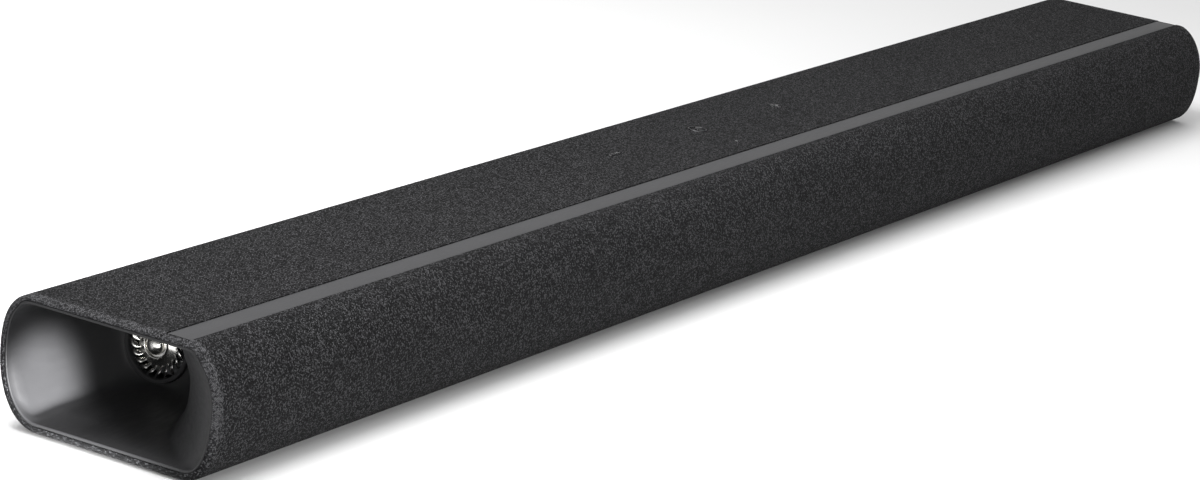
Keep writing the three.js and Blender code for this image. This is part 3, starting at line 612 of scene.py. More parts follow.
def skin(line, inwards, recess, thickness, middle_steps):
    """A closed skin over an open line round the bar: its outer layer lies recess inside the outer face."""
    layers = []
    tops = topness(inwards)
    for depth in (recess, recess + thickness):
        stations = skin_stations(RIM_ROUND - depth, middle_steps)
        grid = [
            [(rolled_x(x, top), *(point + way * (depth + (inset - depth) * (1 - (1 - TOP_ROLL) * top))))
             for point, way, top in zip(line, inwards, tops)]
            for x, inset in stations]
        layers.append(np.array(grid))
    outer, inner = layers
    lip = 3  # the stations inside the rim, where the inner layer stays clear of the outer one
    for rows in (range(lip), range(len(inner) - lip, len(inner))):
        for row in rows:
            end = row if row < lip else len(inner) - 1 - row
            shift = thickness * (0.9 - 0.1 * end) * (1 if row < lip else -1)
            pull = -thickness * 0.6
            inner[row] = outer[row]
            inner[row, :, 0] += shift * 0.4
            inner[row, :, 1:] += np.array(inwards) * pull
    rows, columns = outer.shape[:2]
    points = np.concatenate([outer.reshape(-1, 3), inner.reshape(-1, 3)])
    along = path_length(outer[:, columns // 2])
    round_it = path_length(outer[rows // 2])
    grid = np.stack(np.meshgrid(along - along[-1] / 2, round_it, indexing="ij"), axis=-1)
    uv = grid.reshape(-1, 2) * MM
    return points, layer_faces(rows, columns), np.concatenate([uv, uv]), (along[-1] * MM, round_it[-1] * MM)


def cloth_line():
    """Round the bar: from the slot down the front, underneath, up the rear and over to the slot."""
    slot_front, slot_rear = STRIP_FRONT_Y - GAP, STRIP_REAR_Y + GAP
    on_top = OUTLINE[:, 1] > TOP_Z - 1e-6
    order = np.arange(len(OUTLINE))
    after = [i for i in order if on_top[i] and OUTLINE[i, 0] < slot_front - 0.2]
    before = [i for i in order if on_top[i] and OUTLINE[i, 0] > slot_rear + 0.2]
    first = after[0]
    ring = np.roll(OUTLINE, -first, axis=0)
    ways = np.roll(INWARDS, -first, axis=0)
    count = (before[-1] - first) % len(OUTLINE) + 1
    line = np.concatenate([[(slot_front, TOP_Z)], ring[:count], [(slot_rear, TOP_Z)]])
    inwards = np.concatenate([[(0, -1)], ways[:count], [(0, -1)]])
    return line, inwards


BASE_HOLE = (936, 56, 8)  # length, width, corner
RECESS_HOLE = {"z": (14.7, 47.3), "half_length": 94.3}


def key_outline(kind, grow=0.0):
    """A key's outline about its own middle, counter-clockwise."""
    if kind == "source":
        return circle(SOURCE_KEY["outer"] + grow, 48)
    reach, half = KEY_REACH[kind] + grow, KEY_BAR_WIDTH / 2 + grow
    if kind == "minus":
        return stadium(2 * reach, 2 * half, 8)
    turns = np.linspace(-math.pi / 2, math.pi / 2, 9)
    arm = [(reach - half + half * math.cos(t), half * math.sin(t)) for t in turns]
    return four_times(arm + [(half, half)])


KEYS = (("minus", -KEY_X), ("source", 0), ("plus", KEY_X))


def cut(obj, cutters):
    """Takes closed shapes out of obj and leaves a plain mesh."""
    points, faces = joined(*cutters)
    mesh = bpy.data.meshes.new("cutter")
    mesh.from_pydata([tuple(Vector(p) * MM) for p in points], [], faces)
    outward(mesh)
    tool = placed("cutter", mesh)
    modifier = obj.modifiers.new("openings", "BOOLEAN")
    modifier.operation = "DIFFERENCE"
    modifier.solver = "EXACT"
    modifier.object = tool
    graph = bpy.context.evaluated_depsgraph_get()
    result = bpy.data.meshes.new_from_object(obj.evaluated_get(graph))
    obj.modifiers.clear()
    obj.data = result
    bpy.data.objects.remove(tool)


def cloth_openings():
    cutters = [
        stacked([(key_outline(kind, KEY_CLEARANCE), level) for level in (60, 68)], upright(x, KEY_Y))
        for kind, x in KEYS]
    cutters.append(stacked([(rounded_rectangle(*BASE_HOLE), level) for level in (-2, 6)], upright(0, 0)))
    low, high = RECESS_HOLE["z"]
    recess = rounded_rectangle(2 * RECESS_HOLE["half_length"], high - low, 2.0)
    cutters.append(stacked([(recess, 50), (recess, 70)], rearward(0, (low + high) / 2)))
    hole = circle(INSERT["radius"] + GAP, 32)
    for side in (-1, 1):
        cutters.append(stacked([(hole, 50), (hole, 70)], rearward(side * INSERT["x"], INSERT["z"])))
    return cutters


def make_cloth():
    line, inwards = cloth_line()
    points, faces, uv, flat = skin(line, inwards, 0, CLOTH_THICKNESS, 56)
    cloth = piece("cloth_wrap", points, faces, CLOTH, slot="cloth", replaces=["cloth_sleeve"], uv=uv)
    cut(cloth, cloth_openings())
    smooth(cloth.data, 32)


make_cloth()


# ---- trim strip
def make_strip():
    half = (STRIP_REAR_Y - STRIP_FRONT_Y) / 2
    middle = (STRIP_REAR_Y + STRIP_FRONT_Y) / 2
    edge = [(inset - half, rise) for inset, rise in soft_edge(STRIP_EDGE)]
    reach = half - STRIP_EDGE
    crown = [(y, STRIP_CROWN * (1 - (y / half) ** 2)) for y in np.linspace(-reach, reach, 9)]
    other = [(-y, z) for y, z in reversed(edge)]
    profile = edge[:-1] + crown + other[1:]
    line = np.array([(middle + y, TOP_Z + z - 0.02) for y, z in profile])[::-1]
    inwards = np.tile([0.0, -1.0], (len(line), 1))
    points, faces, uv, _ = skin(line, inwards, STRIP_RECESS, STRIP_THICKNESS, 40)
    strip = piece("trim_bar", points, faces, STRIP, slot="trim", replaces=["trim_strip"], sharp=60, uv=uv)
    # the cloth runs on round the mouth's rim, over the strip's ends, and carries its painted rim sheen
    # there
    strip.data.materials.append(CLOTH)
    for face in strip.data.polygons:
        if abs(face.center.x) > (HALF_LENGTH - STRIP_END) * MM:
            face.material_index = 1


make_strip()


# ---- end horns
HORN_DEPTH = 74
HORN_RECESS = 0.5
HORN_LIP = 1.0
THROAT = {"y": 26, "z": 32.3, "radius": 19, "length": 5.6}
HORN_START = -HALF_LENGTH + HORN_RECESS
MOUTH_RISE = 0.4
LIP_OVERHANG = 1.45
FLARE = {"amount": 0.55, "depth": 0.62}
FLOOR_SLOPE = 0.03
FLOOR_BAND = (10, 14)  # the slope is full below the first level and gone above the second
FLOOR_RISE_Y = (-10, 38)
FLARED_FROM_Y = 20  # the flare grows from here to its most at the front
FLARED_TO_Y = -57
FLOOR_RISEN_AT = 0.3
BEND_FULL_AT = 0.08
HORN_WALL = 1.6


# the lower rear corner's bend, and the lean of the wall above it
BEND_START = {"y": 43.8, "rise": 0.35}
BEND_MIDDLE = {"y": 46.8, "rise": 0.7}
BEND_END = {"y": 48.4, "z": 12.6}
WALL_LEAN = {"inset": 1.0, "z": 27.0}
BEND_SHARES = (0.3, 0.6)


def bowed(start, pull, end, t):
    """A point on the curve from start to end that is drawn towards pull."""
    return (1 - t) ** 2 * start + 2 * t * (1 - t) * pull + t**2 * end


def squeezed_corner(points, widen):
    """The lower rear corner drawn in to a tighter bend between the rising floor and a leaning wall."""
    floor, wall = points[0], points[-1]
    bend_in = np.array((BEND_START["y"] + widen * 0.5, floor[1] + BEND_START["rise"]))
    bend = np.array((BEND_MIDDLE["y"] + widen, floor[1] + BEND_MIDDLE["rise"]))
    bend_out = np.array((BEND_END["y"] + widen, BEND_END["z"]))
    lean = np.array([wall[0] - WALL_LEAN["inset"], WALL_LEAN["z"]])
    first, second = BEND_SHARES
    line = []
    for share in np.linspace(0, 1, len(points)):
        if share < first:
            line.append(floor + (bend_in - floor) * share / first)
        elif share < second:
            line.append(bowed(bend_in, bend, bend_out, (share - first) / (second - first)))
        else:
            line.append(bowed(bend_out, lean, wall, (share - second) / (1 - second)))
    return np.array(line)


def horn_ring(share, widen, shift=0.0, overhang=0.0):
    """One ring of the horn, at a share of its depth.

    The mouth follows the bar, the front flares in at once and the other sides close late on the throat.
    """
    mouth = OUTLINE + INWARDS * (HORN_OUTER + HORN_LIP - widen)
    mouth[:, 1] += MOUTH_RISE * min(1.0, max(0.0, 1 - widen / HORN_LIP))
    mouth -= INWARDS * (overhang * topness(INWARDS))[:, None]
    low = np.clip((FLOOR_BAND[1] - mouth[:, 1]) / (FLOOR_BAND[1] - FLOOR_BAND[0]), 0, 1)
    rise = FLOOR_SLOPE * np.clip(OUTLINE[:, 0] - FLOOR_RISE_Y[0], 0, FLOOR_RISE_Y[1] - FLOOR_RISE_Y[0])
    mouth[:, 1] += low * rise * min(1.0, share / FLOOR_RISEN_AT)
    bend = np.append(np.nonzero(OUTLINE_NUMBERS >= REAR_CORNER_NUMBER)[0], 0)
    mouth[bend] += (squeezed_corner(mouth[bend], widen) - mouth[bend]) * min(1.0, share / BEND_FULL_AT)
    late = 0.1 * share + 0.9 * (1 - (1 - share**4) ** 0.6)
    flare = FLARE["amount"] * (1 - (1 - min(share / FLARE["depth"], 1)) ** 2)
    frontness = np.clip((FLARED_FROM_Y - OUTLINE[:, 0]) / (FLARED_FROM_Y - FLARED_TO_Y), 0, 1)
    closing = (late + (1 - late) * flare * frontness)[:, None]
    turn = 2 * math.pi * OUTLINE_NUMBERS / COARSE_POINTS
    radius = THROAT["radius"] + widen
    throat = np.stack([radius * np.cos(turn), radius * np.sin(turn)], axis=1) + (THROAT["y"], THROAT["z"])
    here = mouth + (throat - mouth) * closing
    x = np.full(len(here), HORN_START + share * HORN_DEPTH + shift)
    return np.column_stack([x, here])


def horn_parts():
    """A closed shell: the lip, the inside down to the throat, and back along the outside."""
    stations = 1 - (1 - np.linspace(0, 1, 40)) ** 1.5
    lip = [
        (-0.9, 0.2), (-0.98, 0.05), (-0.75, -0.15), (-0.55, -0.2), (-0.3, -0.12), (-0.12, 0.06),
        (-0.04, 0.25)]
    rings = [horn_ring(0, -widen, 0.15 + shift, LIP_OVERHANG) for widen, shift in lip]
    rings.append(horn_ring(0, 0, 0.6, LIP_OVERHANG * 0.8))
    rings.append(horn_ring(0, 0, 1.3, LIP_OVERHANG * 0.35))
    rings += [horn_ring(share, 0, 0.45 * (1 - share)) for share in stations[1:]]
    rings.append(horn_ring(1, 0, THROAT["length"]))
    rings.append(horn_ring(1, HORN_WALL, THROAT["length"]))
    for share in reversed(stations[4:]):
        rings.append(horn_ring(share, HORN_WALL - 0.62 * (1 - share)))
    rings.append(horn_ring(0, HORN_LIP - 0.03, 0.42))
    count = len(OUTLINE)
    points = np.concatenate(rings)
    return list(map(tuple, points)), lattice(len(rings), count, wrap_rows=True, wrap_columns=True)


HORN_SHELL = horn_parts()
both_ends("horn_shell_{}", HORN_SHELL, HORN, "horn_plastic", ["horn_{}"], 50)


# ---- phase plugs
VANES = 20
PETAL_START = 10.3
PETAL_LENGTH = 5.3
PETAL_SWIRL = 0.26
PETAL_THICKNESS = 0.45
PLUG_X = HORN_START + HORN_DEPTH
PLUG_CENTRE = (PLUG_X, THROAT["y"], THROAT["z"])


def petal(index):
    """One petal of the plug, from the dish to the rim: it swirls, and its face turns back at the tip."""
    steps, across = 11, 7
    front, back = [], []
    for k in range(steps):
        share = k / (steps - 1)
        radius = PETAL_START + PETAL_LENGTH * share
        lead = index * 2 * math.pi / VANES + PETAL_SWIRL * share**1.2
        half = 0.75 + 0.75 * math.sin(math.pi / 2 * min(1.0, share * 1.4))
        half *= math.sqrt(max(0.16, 1 - share**6))
        lift = -0.5 - 1.5 * math.sin(math.pi * min(1.0, share * 0.95) ** 1.3)
        for m in range(across):
            side = 2 * m / (across - 1) - 1
            turn = lead + side * half / radius
            y, z = THROAT["y"] + radius * math.cos(turn), THROAT["z"] + radius * math.sin(turn)
            depth = lift + 0.45 * side**2 + 0.55 * side
            front.append((PLUG_X + depth, y, z))
            back.append((PLUG_X + depth + PETAL_THICKNESS, y, z))
    return front + back, layer_faces(steps, across)


def plug_parts():
    dome = [(4.85 * math.sin(t), -2.2 - 2.9 * math.cos(t)) for t in np.linspace(0, math.pi / 2, 12)]
    groove = [(4.9, -1.6), (5.7, -1.6), (5.85, -2.3)]
    ring = [(6.35 - 0.45 * math.cos(t), -2.4 - 0.45 * math.sin(t)) for t in np.linspace(0.2, 2.4, 7)]
    dish = [(6.8 + 4.1 * t, -2.2 + 1.9 * t**0.7) for t in np.linspace(0.05, 1, 10)]
    back = [(10.9, 0.5), (9.0, 1.0), (6.4, 2.2), (0, 2.2)]
    rim = [(16.3, -1.4), (16.7, -2.0), (18.2, -2.2), (18.6, -1.9), (18.6, 2.2), (16.5, 2.2), (16.3, 0.2)]
    hub = revolved(dome + groove + ring + dish + back, 96, (1, 0, 0), PLUG_CENTRE)
    arms = []
    for index in range(VANES):
        turn = index * 2 * math.pi / VANES + PETAL_SWIRL
        for radius, swing in ((14.8, 0.0), (16.9, 0.02)):
            for sign in (-1, 1):
                lead = turn + swing + sign * 0.35 / radius
                y, z = THROAT["y"] + radius * math.cos(lead), THROAT["z"] + radius * math.sin(lead)
                arms.append([(PLUG_X - 0.6, y, z), (PLUG_X + 0.4, y, z)])
    points, faces = [], []
    for index in range(VANES):
        a, b, c, d = arms[4 * index:4 * index + 4]
        start = len(points)
        points += a + b + d + c
        faces += [tuple(start + i for i in face) for face in (
            (0, 2, 4, 6), (1, 7, 5, 3), (0, 1, 3, 2), (2, 3, 5, 4), (4, 5, 7, 6), (6, 7, 1, 0))]
    rim_ring = revolved(rim, 96, (1, 0, 0), PLUG_CENTRE)
    return joined(hub, *[petal(index) for index in range(VANES)]), joined(rim_ring, (points, faces))


PLUG, PLUG_RIM = plug_parts()
both_ends("phase_plug_{}_bladed", PLUG, SILVER, "silver", ["phase_plug_{}"], 40)
both_ends("phase_plug_rim_{}", PLUG_RIM, HORN, "horn_plastic", [], 40)


# ---- keys
KEY_FLANGE = ((1.2, 59.1), (1.4, 59.3), (1.4, 60.7), (1.2, 60.9))  # (how far it stands out, level)
KEY_PLUNGER = [(0, 56.3), (1.4, 56.3), (1.6, 56.5), (1.6, 60.4), (0, 60.4)]


def key_parts(kind, x):
    """The glyph that stands proud of the cloth, on the flange and plunger that lie under it."""
    place = upright(x, KEY_Y)
    edge = 0.5
    top = TOP_Z + KEY_HEIGHT
    if kind == "source":
        outer, inner, dot = SOURCE_KEY["outer"], SOURCE_KEY["inner"], SOURCE_KEY["dot"]
        profile = [
            (0, 60.7), (outer, 60.7), (outer, top - edge), (outer - 0.15, top - 0.15), (outer - edge, top),
            (inner + edge, top), (inner + 0.15, top - 0.15), (inner, top - edge), (inner, TOP_Z - 0.3),
            (dot, TOP_Z - 0.3), (dot, top - edge), (dot - 0.15, top - 0.15), (dot - 0.7, top - 0.03),
            (0, top)]
        cap = revolved(profile, 48, UP, (x, KEY_Y, 0))
    else:
        glyph = [(key_outline(kind), 60.5)]
        glyph += [(offset(key_outline(kind), inset), top + rise) for inset, rise in soft_edge(edge)]
        cap = stacked(glyph, place)
    flange = stacked([(key_outline(kind, grow), level) for grow, level in KEY_FLANGE], place)
    return joined(cap, flange, revolved(KEY_PLUNGER, 24, UP, (x, KEY_Y, 0)))


for kind, x in KEYS:
    body = f"key_{kind}"
    piece(f"{body}_cap", *key_parts(kind, x), KEY, body, "key_plastic", [body], sharp=45)


# ---- drivers
DRIVER_Z = 32.3
DRIVER_FACE_Y = -48
SIDE_FACE = 6.4  # how far the side tweeters' faces lie behind the plug
WOOFER_X = (-396, -334, -272, -210, -46, 46, 210, 272, 334, 396)
TWEETER_PLACES = {
    "left": ((1, 0, 0), (PLUG_X + SIDE_FACE, THROAT["y"], THROAT["z"])),
    "centre": (BACK, (0, DRIVER_FACE_Y, DRIVER_Z)),
    "right": ((-1, 0, 0), (-PLUG_X - SIDE_FACE, THROAT["y"], THROAT["z"]))}


def arc(centre, reach, rise, start, end, steps):
    """Points (radius, along) of a bow about a centre."""
    turns = np.linspace(math.radians(start), math.radians(end), steps)
    return [(centre[0] + reach * math.cos(t), centre[1] + rise * math.sin(t)) for t in turns]


# profiles: (radius, how far behind the driver's face)
WOOFER_BASKET = [
    (0, 27), (15.6, 27), (16, 26.6), (16, 13.8), (23.3, 6.4), (23.3, 1.7), (25.7, 1.7), (26, 1.4),
    (26, 0.3), (25.7, 0), (22.5, 0), (22.2, 0.3), (21.4, 4.5), (9.4, 12.5), (9.4, 17.5), (5.6, 17.5),
    (5.6, 10.5), (0, 10.5)]
WOOFER_PAPER = arc((0, 5.6), 6.6, 2.4, -90, -4, 8) + arc((4.2, -3.4), 12.6, 9.2, 76, 26, 8) + [
    (16.9, 0.7), (16.9, 1.3), (6.9, 7), (6.9, 13), (6.1, 13), (6.1, 6.4), (0, 4.1)]
WOOFER_ROLL = [(16.3, 0.6)] + arc((18.6, 0.6), 1.9, 1.7, 180, 360, 11)
WOOFER_ROLL += [(20.8, 0.6), (20.8, 1.4), (20.2, 1.4)]
WOOFER_ROLL += arc((18.6, 1.2), 1.5, 1.3, 360, 180, 9) + [(16.3, 1.3)]
TWEETER_BODY = [
    (0, 17), (13.1, 17), (13.5, 16.6), (13.5, 1.8), (15.9, 1.8), (16.2, 1.5), (16.2, 0.3), (15.9, 0),
    (11.6, 0), (11.4, 0.2), (11.4, 6.2), (8.6, 6.2), (8.6, 2.4), (0, 2.4)]
TWEETER_SILK = arc((0, 0.9), 9.2, 3.5, -90, -2, 9) + arc((10.0, 0.8), 0.7, 0.45, -180, 0, 5)
TWEETER_SILK += [(10.9, 1), (10.9, 1.6), (10.1, 1.7), (10.1, 5), (9.4, 5), (9.4, 1.9)]
TWEETER_SILK += arc((0, 1.3), 8.8, 3.1, -8, -90, 7)



def driver(basket_name, basket, cone_name, cone, finish, body, motor, axis, spot, segments):
    """The fixed basket and the moving cone or dome of one driver, for the CAD's motor and body."""
    piece(
        basket_name, *revolved(basket, segments, axis, spot), DRIVER_STEEL, slot="driver_steel",
        replaces=[motor])
    material, slot = finish
    piece(cone_name, *revolved(cone, segments, axis, spot), material, body, slot, [body])


for number, x in enumerate(WOOFER_X, 1):
    spot = (x, DRIVER_FACE_Y, DRIVER_Z)
    body = f"woofer_cone_{number}"
    driver(
        f"woofer_basket_{number}", WOOFER_BASKET, f"woofer_paper_{number}", WOOFER_PAPER, (CONE, "cone"),
        body, f"woofer_frame_{number}", BACK, spot, 48)
    piece(f"woofer_roll_{number}", *revolved(WOOFER_ROLL, 48, BACK, spot), RUBBER, body, "rubber")
for side, (axis, spot) in TWEETER_PLACES.items():
    driver(
        f"tweeter_body_{side}", TWEETER_BODY, f"tweeter_silk_{side}", TWEETER_SILK, (SILK, "dome_silk"),
        f"tweeter_dome_{side}", f"tweeter_motor_{side}", axis, spot, 40)


# ---- circuit boards
BOARD_Z = 8
KEY_BOARD_Z = 51
BOARD_THICKNESS = 1.6
BOARD_TOP = BOARD_Z + BOARD_THICKNESS
SEAT_Z = BOARD_TOP - 0.1  # parts sink a little into the board
LEG_PITCH = 1.6


def slab(x, y, z, length, width, height, soft=0.25):
    """A block with softened edges, from level z up."""
    full = rounded_rectangle(length, width, soft * 2, 3)
    small = offset(full, soft)
    levels = [(small, z), (full, z + soft), (full, z + height - soft), (small, z + height)]
    return stacked(levels, upright(x, y))


def legs(x, y, length, width):
    """The legs along two sides of a package."""
    count = int(length / LEG_PITCH) - 1
    across = width / 2 - 0.6
    return [
        slab(x + (k - (count - 1) / 2) * LEG_PITCH, y + side * across, SEAT_Z, 0.6, 1.4, 0.7, 0.1)
        for k in range(count) for side in (-1, 1)]


def can(x, y, radius, height):
    """An upright capacitor: crimped near its foot, with a dished top."""
    foot, top = SEAT_Z, SEAT_Z + height
    profile = [
        (0, foot), (radius - 0.3, foot), (radius, foot + 0.4), (radius, foot + 1.4),
        (radius - 0.35, foot + 1.9), (radius, foot + 2.4), (radius, top - 0.6), (radius - 0.5, top),
        (radius - 0.9, top), (radius - 1.1, top - 0.3), (0, top - 0.3)]
    return revolved(profile, 28, UP, (x, y, 0))


# places and sizes on the boards, as in the CAD
CHIPS = ((-62, 8, 16, 16, 1.6), (-18, 6, 22, 22, 2.2), (24, 12, 12, 14, 1.4), (62, 4, 14, 14, 3.2))
SMALL_CANS = ((82, 22, 4, 11), (92, 12, 4, 11), (-96, 20, 5, 12), (-108, 6, 5, 12))
LARGE_CANS = ((244, 22, 9, 28), (266, 2, 6, 20), (268, 24, 6, 20))
FILTERS = ((164, 2, 20, 16, 18), (150, 26, 16, 12, 14))
TRANSFORMER = {"x": 206, "y": 14, "limb": 13}
SWITCH = [(0, 54.6), (1.6, 54.6), (1.6, 55.4), (1.4, 55.6), (0, 55.6)]


def board_sheet(name, x, y, z, length, width, node):
    sheet = slab(x, y, z, length, width, BOARD_THICKNESS, 0.1)
    piece(name, *sheet, BOARD, slot="circuit_board", replaces=[node])


def boards():
    board_sheet("main_board_sheet", -10, 9, BOARD_Z, 230, 46, "main_board")
    packages = [slab(x, y, BOARD_TOP + 0.2, length - 2, width - 2, height - 0.4)
                for x, y, length, width, height in CHIPS]
    piece("main_board_chips", *joined(*packages), SOCKET, slot="socket_plastic")
    rows = [leg for x, y, length, width, _ in CHIPS for leg in legs(x, y, length, width)]
    piece("main_board_legs", *joined(*rows), PLATED, slot="screw_steel")
    piece("main_board_cans", *joined(*[can(*row) for row in SMALL_CANS]), ALUMINIUM, slot="heat_sink")
    board_sheet("power_board_sheet", 210, 12, BOARD_Z, 150, 52, "power_supply_board")
    x, y, limb = TRANSFORMER["x"], TRANSFORMER["y"], TRANSFORMER["limb"]
    core = [slab(x + side * limb, y, SEAT_Z, 8, 30, 26) for side in (-1, 1)]
    core += [slab(x, y, level, 34, 30, 5) for level in (SEAT_Z, SEAT_Z + 21)]
    piece("transformer_core", *joined(*core), KEY, slot="circuit_board")
    winding = slab(x, y, BOARD_TOP + 5.2, 42, 22, 15.4, 1.5)
    piece("transformer_winding", *winding, TAPE, slot="circuit_board")
    piece("power_board_cans", *joined(*[can(*row) for row in LARGE_CANS]), SLEEVE, slot="circuit_board")
    filters = [slab(x, y, SEAT_Z, length, width, height, 0.8) for x, y, length, width, height in FILTERS]
    piece("power_board_filters", *joined(*filters), TAPE, slot="circuit_board")
    board_sheet("key_board_sheet", 0, KEY_Y, KEY_BOARD_Z, 216, 18, "key_board")
    switches = []
    for _, x in KEYS:
        switches.append(slab(x, KEY_Y, KEY_BOARD_Z + 1.5, 6, 6, 2.4, 0.15))
        switches.append(revolved(SWITCH, 20, UP, (x, KEY_Y, 0)))
    piece("key_switches", *joined(*switches), SOCKET, slot="socket_plastic")


boards()


# ---- status light
def status_light():
    profile = [(0, -1.2), (0.9, -1.2), (0.9, 0.05), (0.75, 0.16), (0.4, 0.24), (0, 0.27)]
    points, faces = revolved(profile, 24, UP, STATUS_LIGHT)
    piece("status_light", points, faces, LENS, slot="key_plastic")


status_light()


# ---- rear sockets
VIDEO_MOUTH = {"width": 14.0, "height": 4.6, "slope": 1.5}
NETWORK_PITCH = 1.02
PIN_SPACING = 8.8


def tube(outline_points, wall, place, near, far):
    """An open liner between two levels, its wall measured inwards."""
    inner = offset(outline_points, wall)
    rings = [(outline_points, near), (inner, near), (inner, far), (outline_points, far)]
    points = [place(a, b, level) for ring, level in rings for a, b in ring]
    return points, lattice(len(rings), len(outline_points), wrap_rows=True, wrap_columns=True)


def bar(cx, cz, width, height, near, far, soft=0.12):
    """A small bar along Y with softened ends."""
    full = rounded_rectangle(width, height, min(width, height) * 0.3, 3)
    small = offset(full, soft)
    return stacked([(small, near), (full, near + soft), (full, far - soft), (small, far)], rearward(cx, cz))


def trapezium(width, height, slope):
    """The mouth of a video socket: its lower corners cut off."""
    half, top, low = width / 2, height / 2, -height / 2
    return np.array([
        (half, top), (-half, top), (-half, low + slope * 0.9), (-half + slope, low),
        (half - slope, low), (half, low + slope * 0.9)])


def video_socket(name):
    x, face = SOCKET_X[name], SOCKET_FACE_Y
    shell = tube(trapezium(**VIDEO_MOUTH), 0.3, rearward(x, SOCKET_Z), face - 10.8, face + 0.15)
    piece(f"{name}_shell", *shell, PLATED, slot="screw_steel")
    tongue = bar(x, SOCKET_Z + 0.5, 10.6, 1.1, face - 10.9, face - 2.0)
    piece(f"{name}_tongue", *tongue, SOCKET, slot="socket_plastic")
    strips = [
        bar(x + k - 4.5, SOCKET_Z - 0.13, 0.55, 0.16, face - 10.5, face - 2.5, 0.04) for k in range(10)]
    piece(f"{name}_contacts", *joined(*strips), GOLD, slot="insert_brass")


def network_socket():
    x, face = SOCKET_X["network"], SOCKET_FACE_Y
    shell = tube(rounded_rectangle(11.8, 8.2, 0.4, 3), 0.3, rearward(x, SOCKET_Z), face - 11.8, face + 0.15)
    piece("network_shell", *shell, PLATED, slot="screw_steel")
    section = ((-0.22, -0.12), (0.22, -0.12), (0.22, 0.12), (-0.22, 0.12))
    path = [(face - 11.6, SOCKET_Z + 3.0), (face - 6.0, SOCKET_Z + 1.6), (face - 2.6, SOCKET_Z + 3.4)]
    contacts = []
    for k in range(8):
        cx = x + (k - 3.5) * NETWORK_PITCH
        for bent in zip(path, path[1:]):
            ends = [(cx + dx, y, z + dz) for y, z in bent for dx, dz in section]
            contacts.append((ends, lattice(2, 4, wrap_columns=True) + [(3, 2, 1, 0), (4, 5, 6, 7)]))
    piece("network_contacts", *joined(*contacts), GOLD, slot="insert_brass")


def optical_shutter():
    x, face = SOCKET_X["optical"], SOCKET_FACE_Y
    place = rearward(x, SOCKET_Z)
    frame_ring = tube(rounded_rectangle(6.8, 6.8, 0.9, 4), 0.5, place, face - 3.2, face - 0.5)
    full = rounded_rectangle(5.6, 5.6, 0.5, 3)
    flap = stacked([
        (full, face - 3.0), (full, face - 2.2), (offset(full, 0.5), face - 1.9),
        (offset(full, 0.9), face - 2.1)], place)
    piece("optical_shutter", *joined(frame_ring, flap), KEY, slot="key_plastic")


def mains_pins():
    x, face = SOCKET_X["mains"], SOCKET_FACE_Y
    profile = [(0, -10.4), (1.32, -10.4), (1.32, -2.7), (1.15, -2.3), (0.7, -2.05), (0, -2.0)]
    pins = [revolved(profile, 24, BACK, (x + side * PIN_SPACING / 2, face, SOCKET_Z)) for side in (-1, 1)]
    piece("mains_pins", *joined(*pins), PLATED, slot="screw_steel")


video_socket("video_in")
video_socket("video_out")
network_socket()
optical_shutter()
mains_pins()


# ---- threaded inserts, screws and feet
def threaded_insert(side):
    """A flanged brass bush with a threaded bore."""
    outer, bore, face = INSERT["radius"], INSERT["bore"], INSERT["face_y"]
    rear, floor = face - INSERT["length"], face - INSERT["bore_depth"]
    thread = []
    y = face - 0.5
    while y > floor + 0.4:
        thread += [(bore - 0.02, y), (bore - 0.32, y - 0.35)]
        y -= 0.7
    profile = [
        (0, rear), (outer - 0.6, rear), (outer - 0.3, rear + 0.4), (outer - 0.3, face - 1.2),
        (outer, face - 1.0), (outer, face - 0.25), (outer - 0.25, face), (bore + 0.45, face)]
    profile += thread + [(bore, floor), (0, floor)]
    points, faces = revolved(profile, 48, BACK, (side * INSERT["x"], 0, INSERT["z"]))
    name = "left" if side < 0 else "right"
    piece(
        f"threaded_insert_{name}", points, faces, BRASS, slot="insert_brass",
        replaces=[f"bracket_insert_{name}"])


def cross(reach, half):
    return four_times([(half, -half), (reach, -half), (reach, half)])


def cross_screw(spot, sx, sy):
    """A pan-head screw with a cross recess, head down."""
    x, y, z = sx * SCREW["x"], sy * SCREW["y"], SCREW["head_z"]
    head, shank = SCREW["head"], SCREW["shank"]
    thread = []
    level = z + 1.8
    while level < z + SCREW["length"] - 1.2:
        thread += [(shank, level), (shank - 0.3, level + 0.4)]
        level += 0.8
    profile = [
        (0, z), (head - 0.9, z + 0.02), (head - 0.35, z + 0.15), (head - 0.05, z + 0.45), (head, z + 0.8),
        (head, z + 1.1), (shank - 0.3, z + 1.1)]
    profile += thread + [(0, z + SCREW["length"])]
    screw = piece(
        f"cross_screw_{spot}", *revolved(profile, 40, UP, (x, y, 0)), SCREW_STEEL, slot="screw_steel",
        replaces=[f"base_screw_{spot}"])
    wide, narrow = cross(1.9, 0.42), cross(0.8, 0.36)
    cut(screw, [stacked([(wide, z - 0.5), (wide, z + 0.1), (narrow, z + 0.95)], upright(x, y))])
    smooth(screw.data, 32)


def ribbed_foot(spot, sx, sy):
    """A rubber pad with a soft edge and a shallow well inside a raised border."""
    full = stadium(FOOT["length"], FOOT["width"], 14)
    levels = [(full, FOOT["top"]), (full, 0.45), (offset(full, 0.15), 0.12), (offset(full, 0.45), 0.0),
              (offset(full, 1.8), 0.0), (offset(full, 2.1), 0.3)]
    place = upright(sx * FOOT["x"], sy * FOOT["y"])
    points, faces = stacked(levels, place)
    piece(f"foot_pad_{spot}", points, faces, RUBBER, slot="rubber", replaces=[f"foot_{spot}"], sharp=50)


for side in (-1, 1):
    threaded_insert(side)
for row, sy in (("front", -1), ("rear", 1)):
    for side, sx in (("left", -1), ("right", 1)):
        cross_screw(f"{row}_{side}", sx, sy)
        ribbed_foot(f"{row}_{side}", sx, sy)


# ---- finishes of the carried-over CAD nodes
def dress(names, material):
    for name in names:
        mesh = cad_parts[name].data
        mesh.materials.clear()
        mesh.materials.append(material)


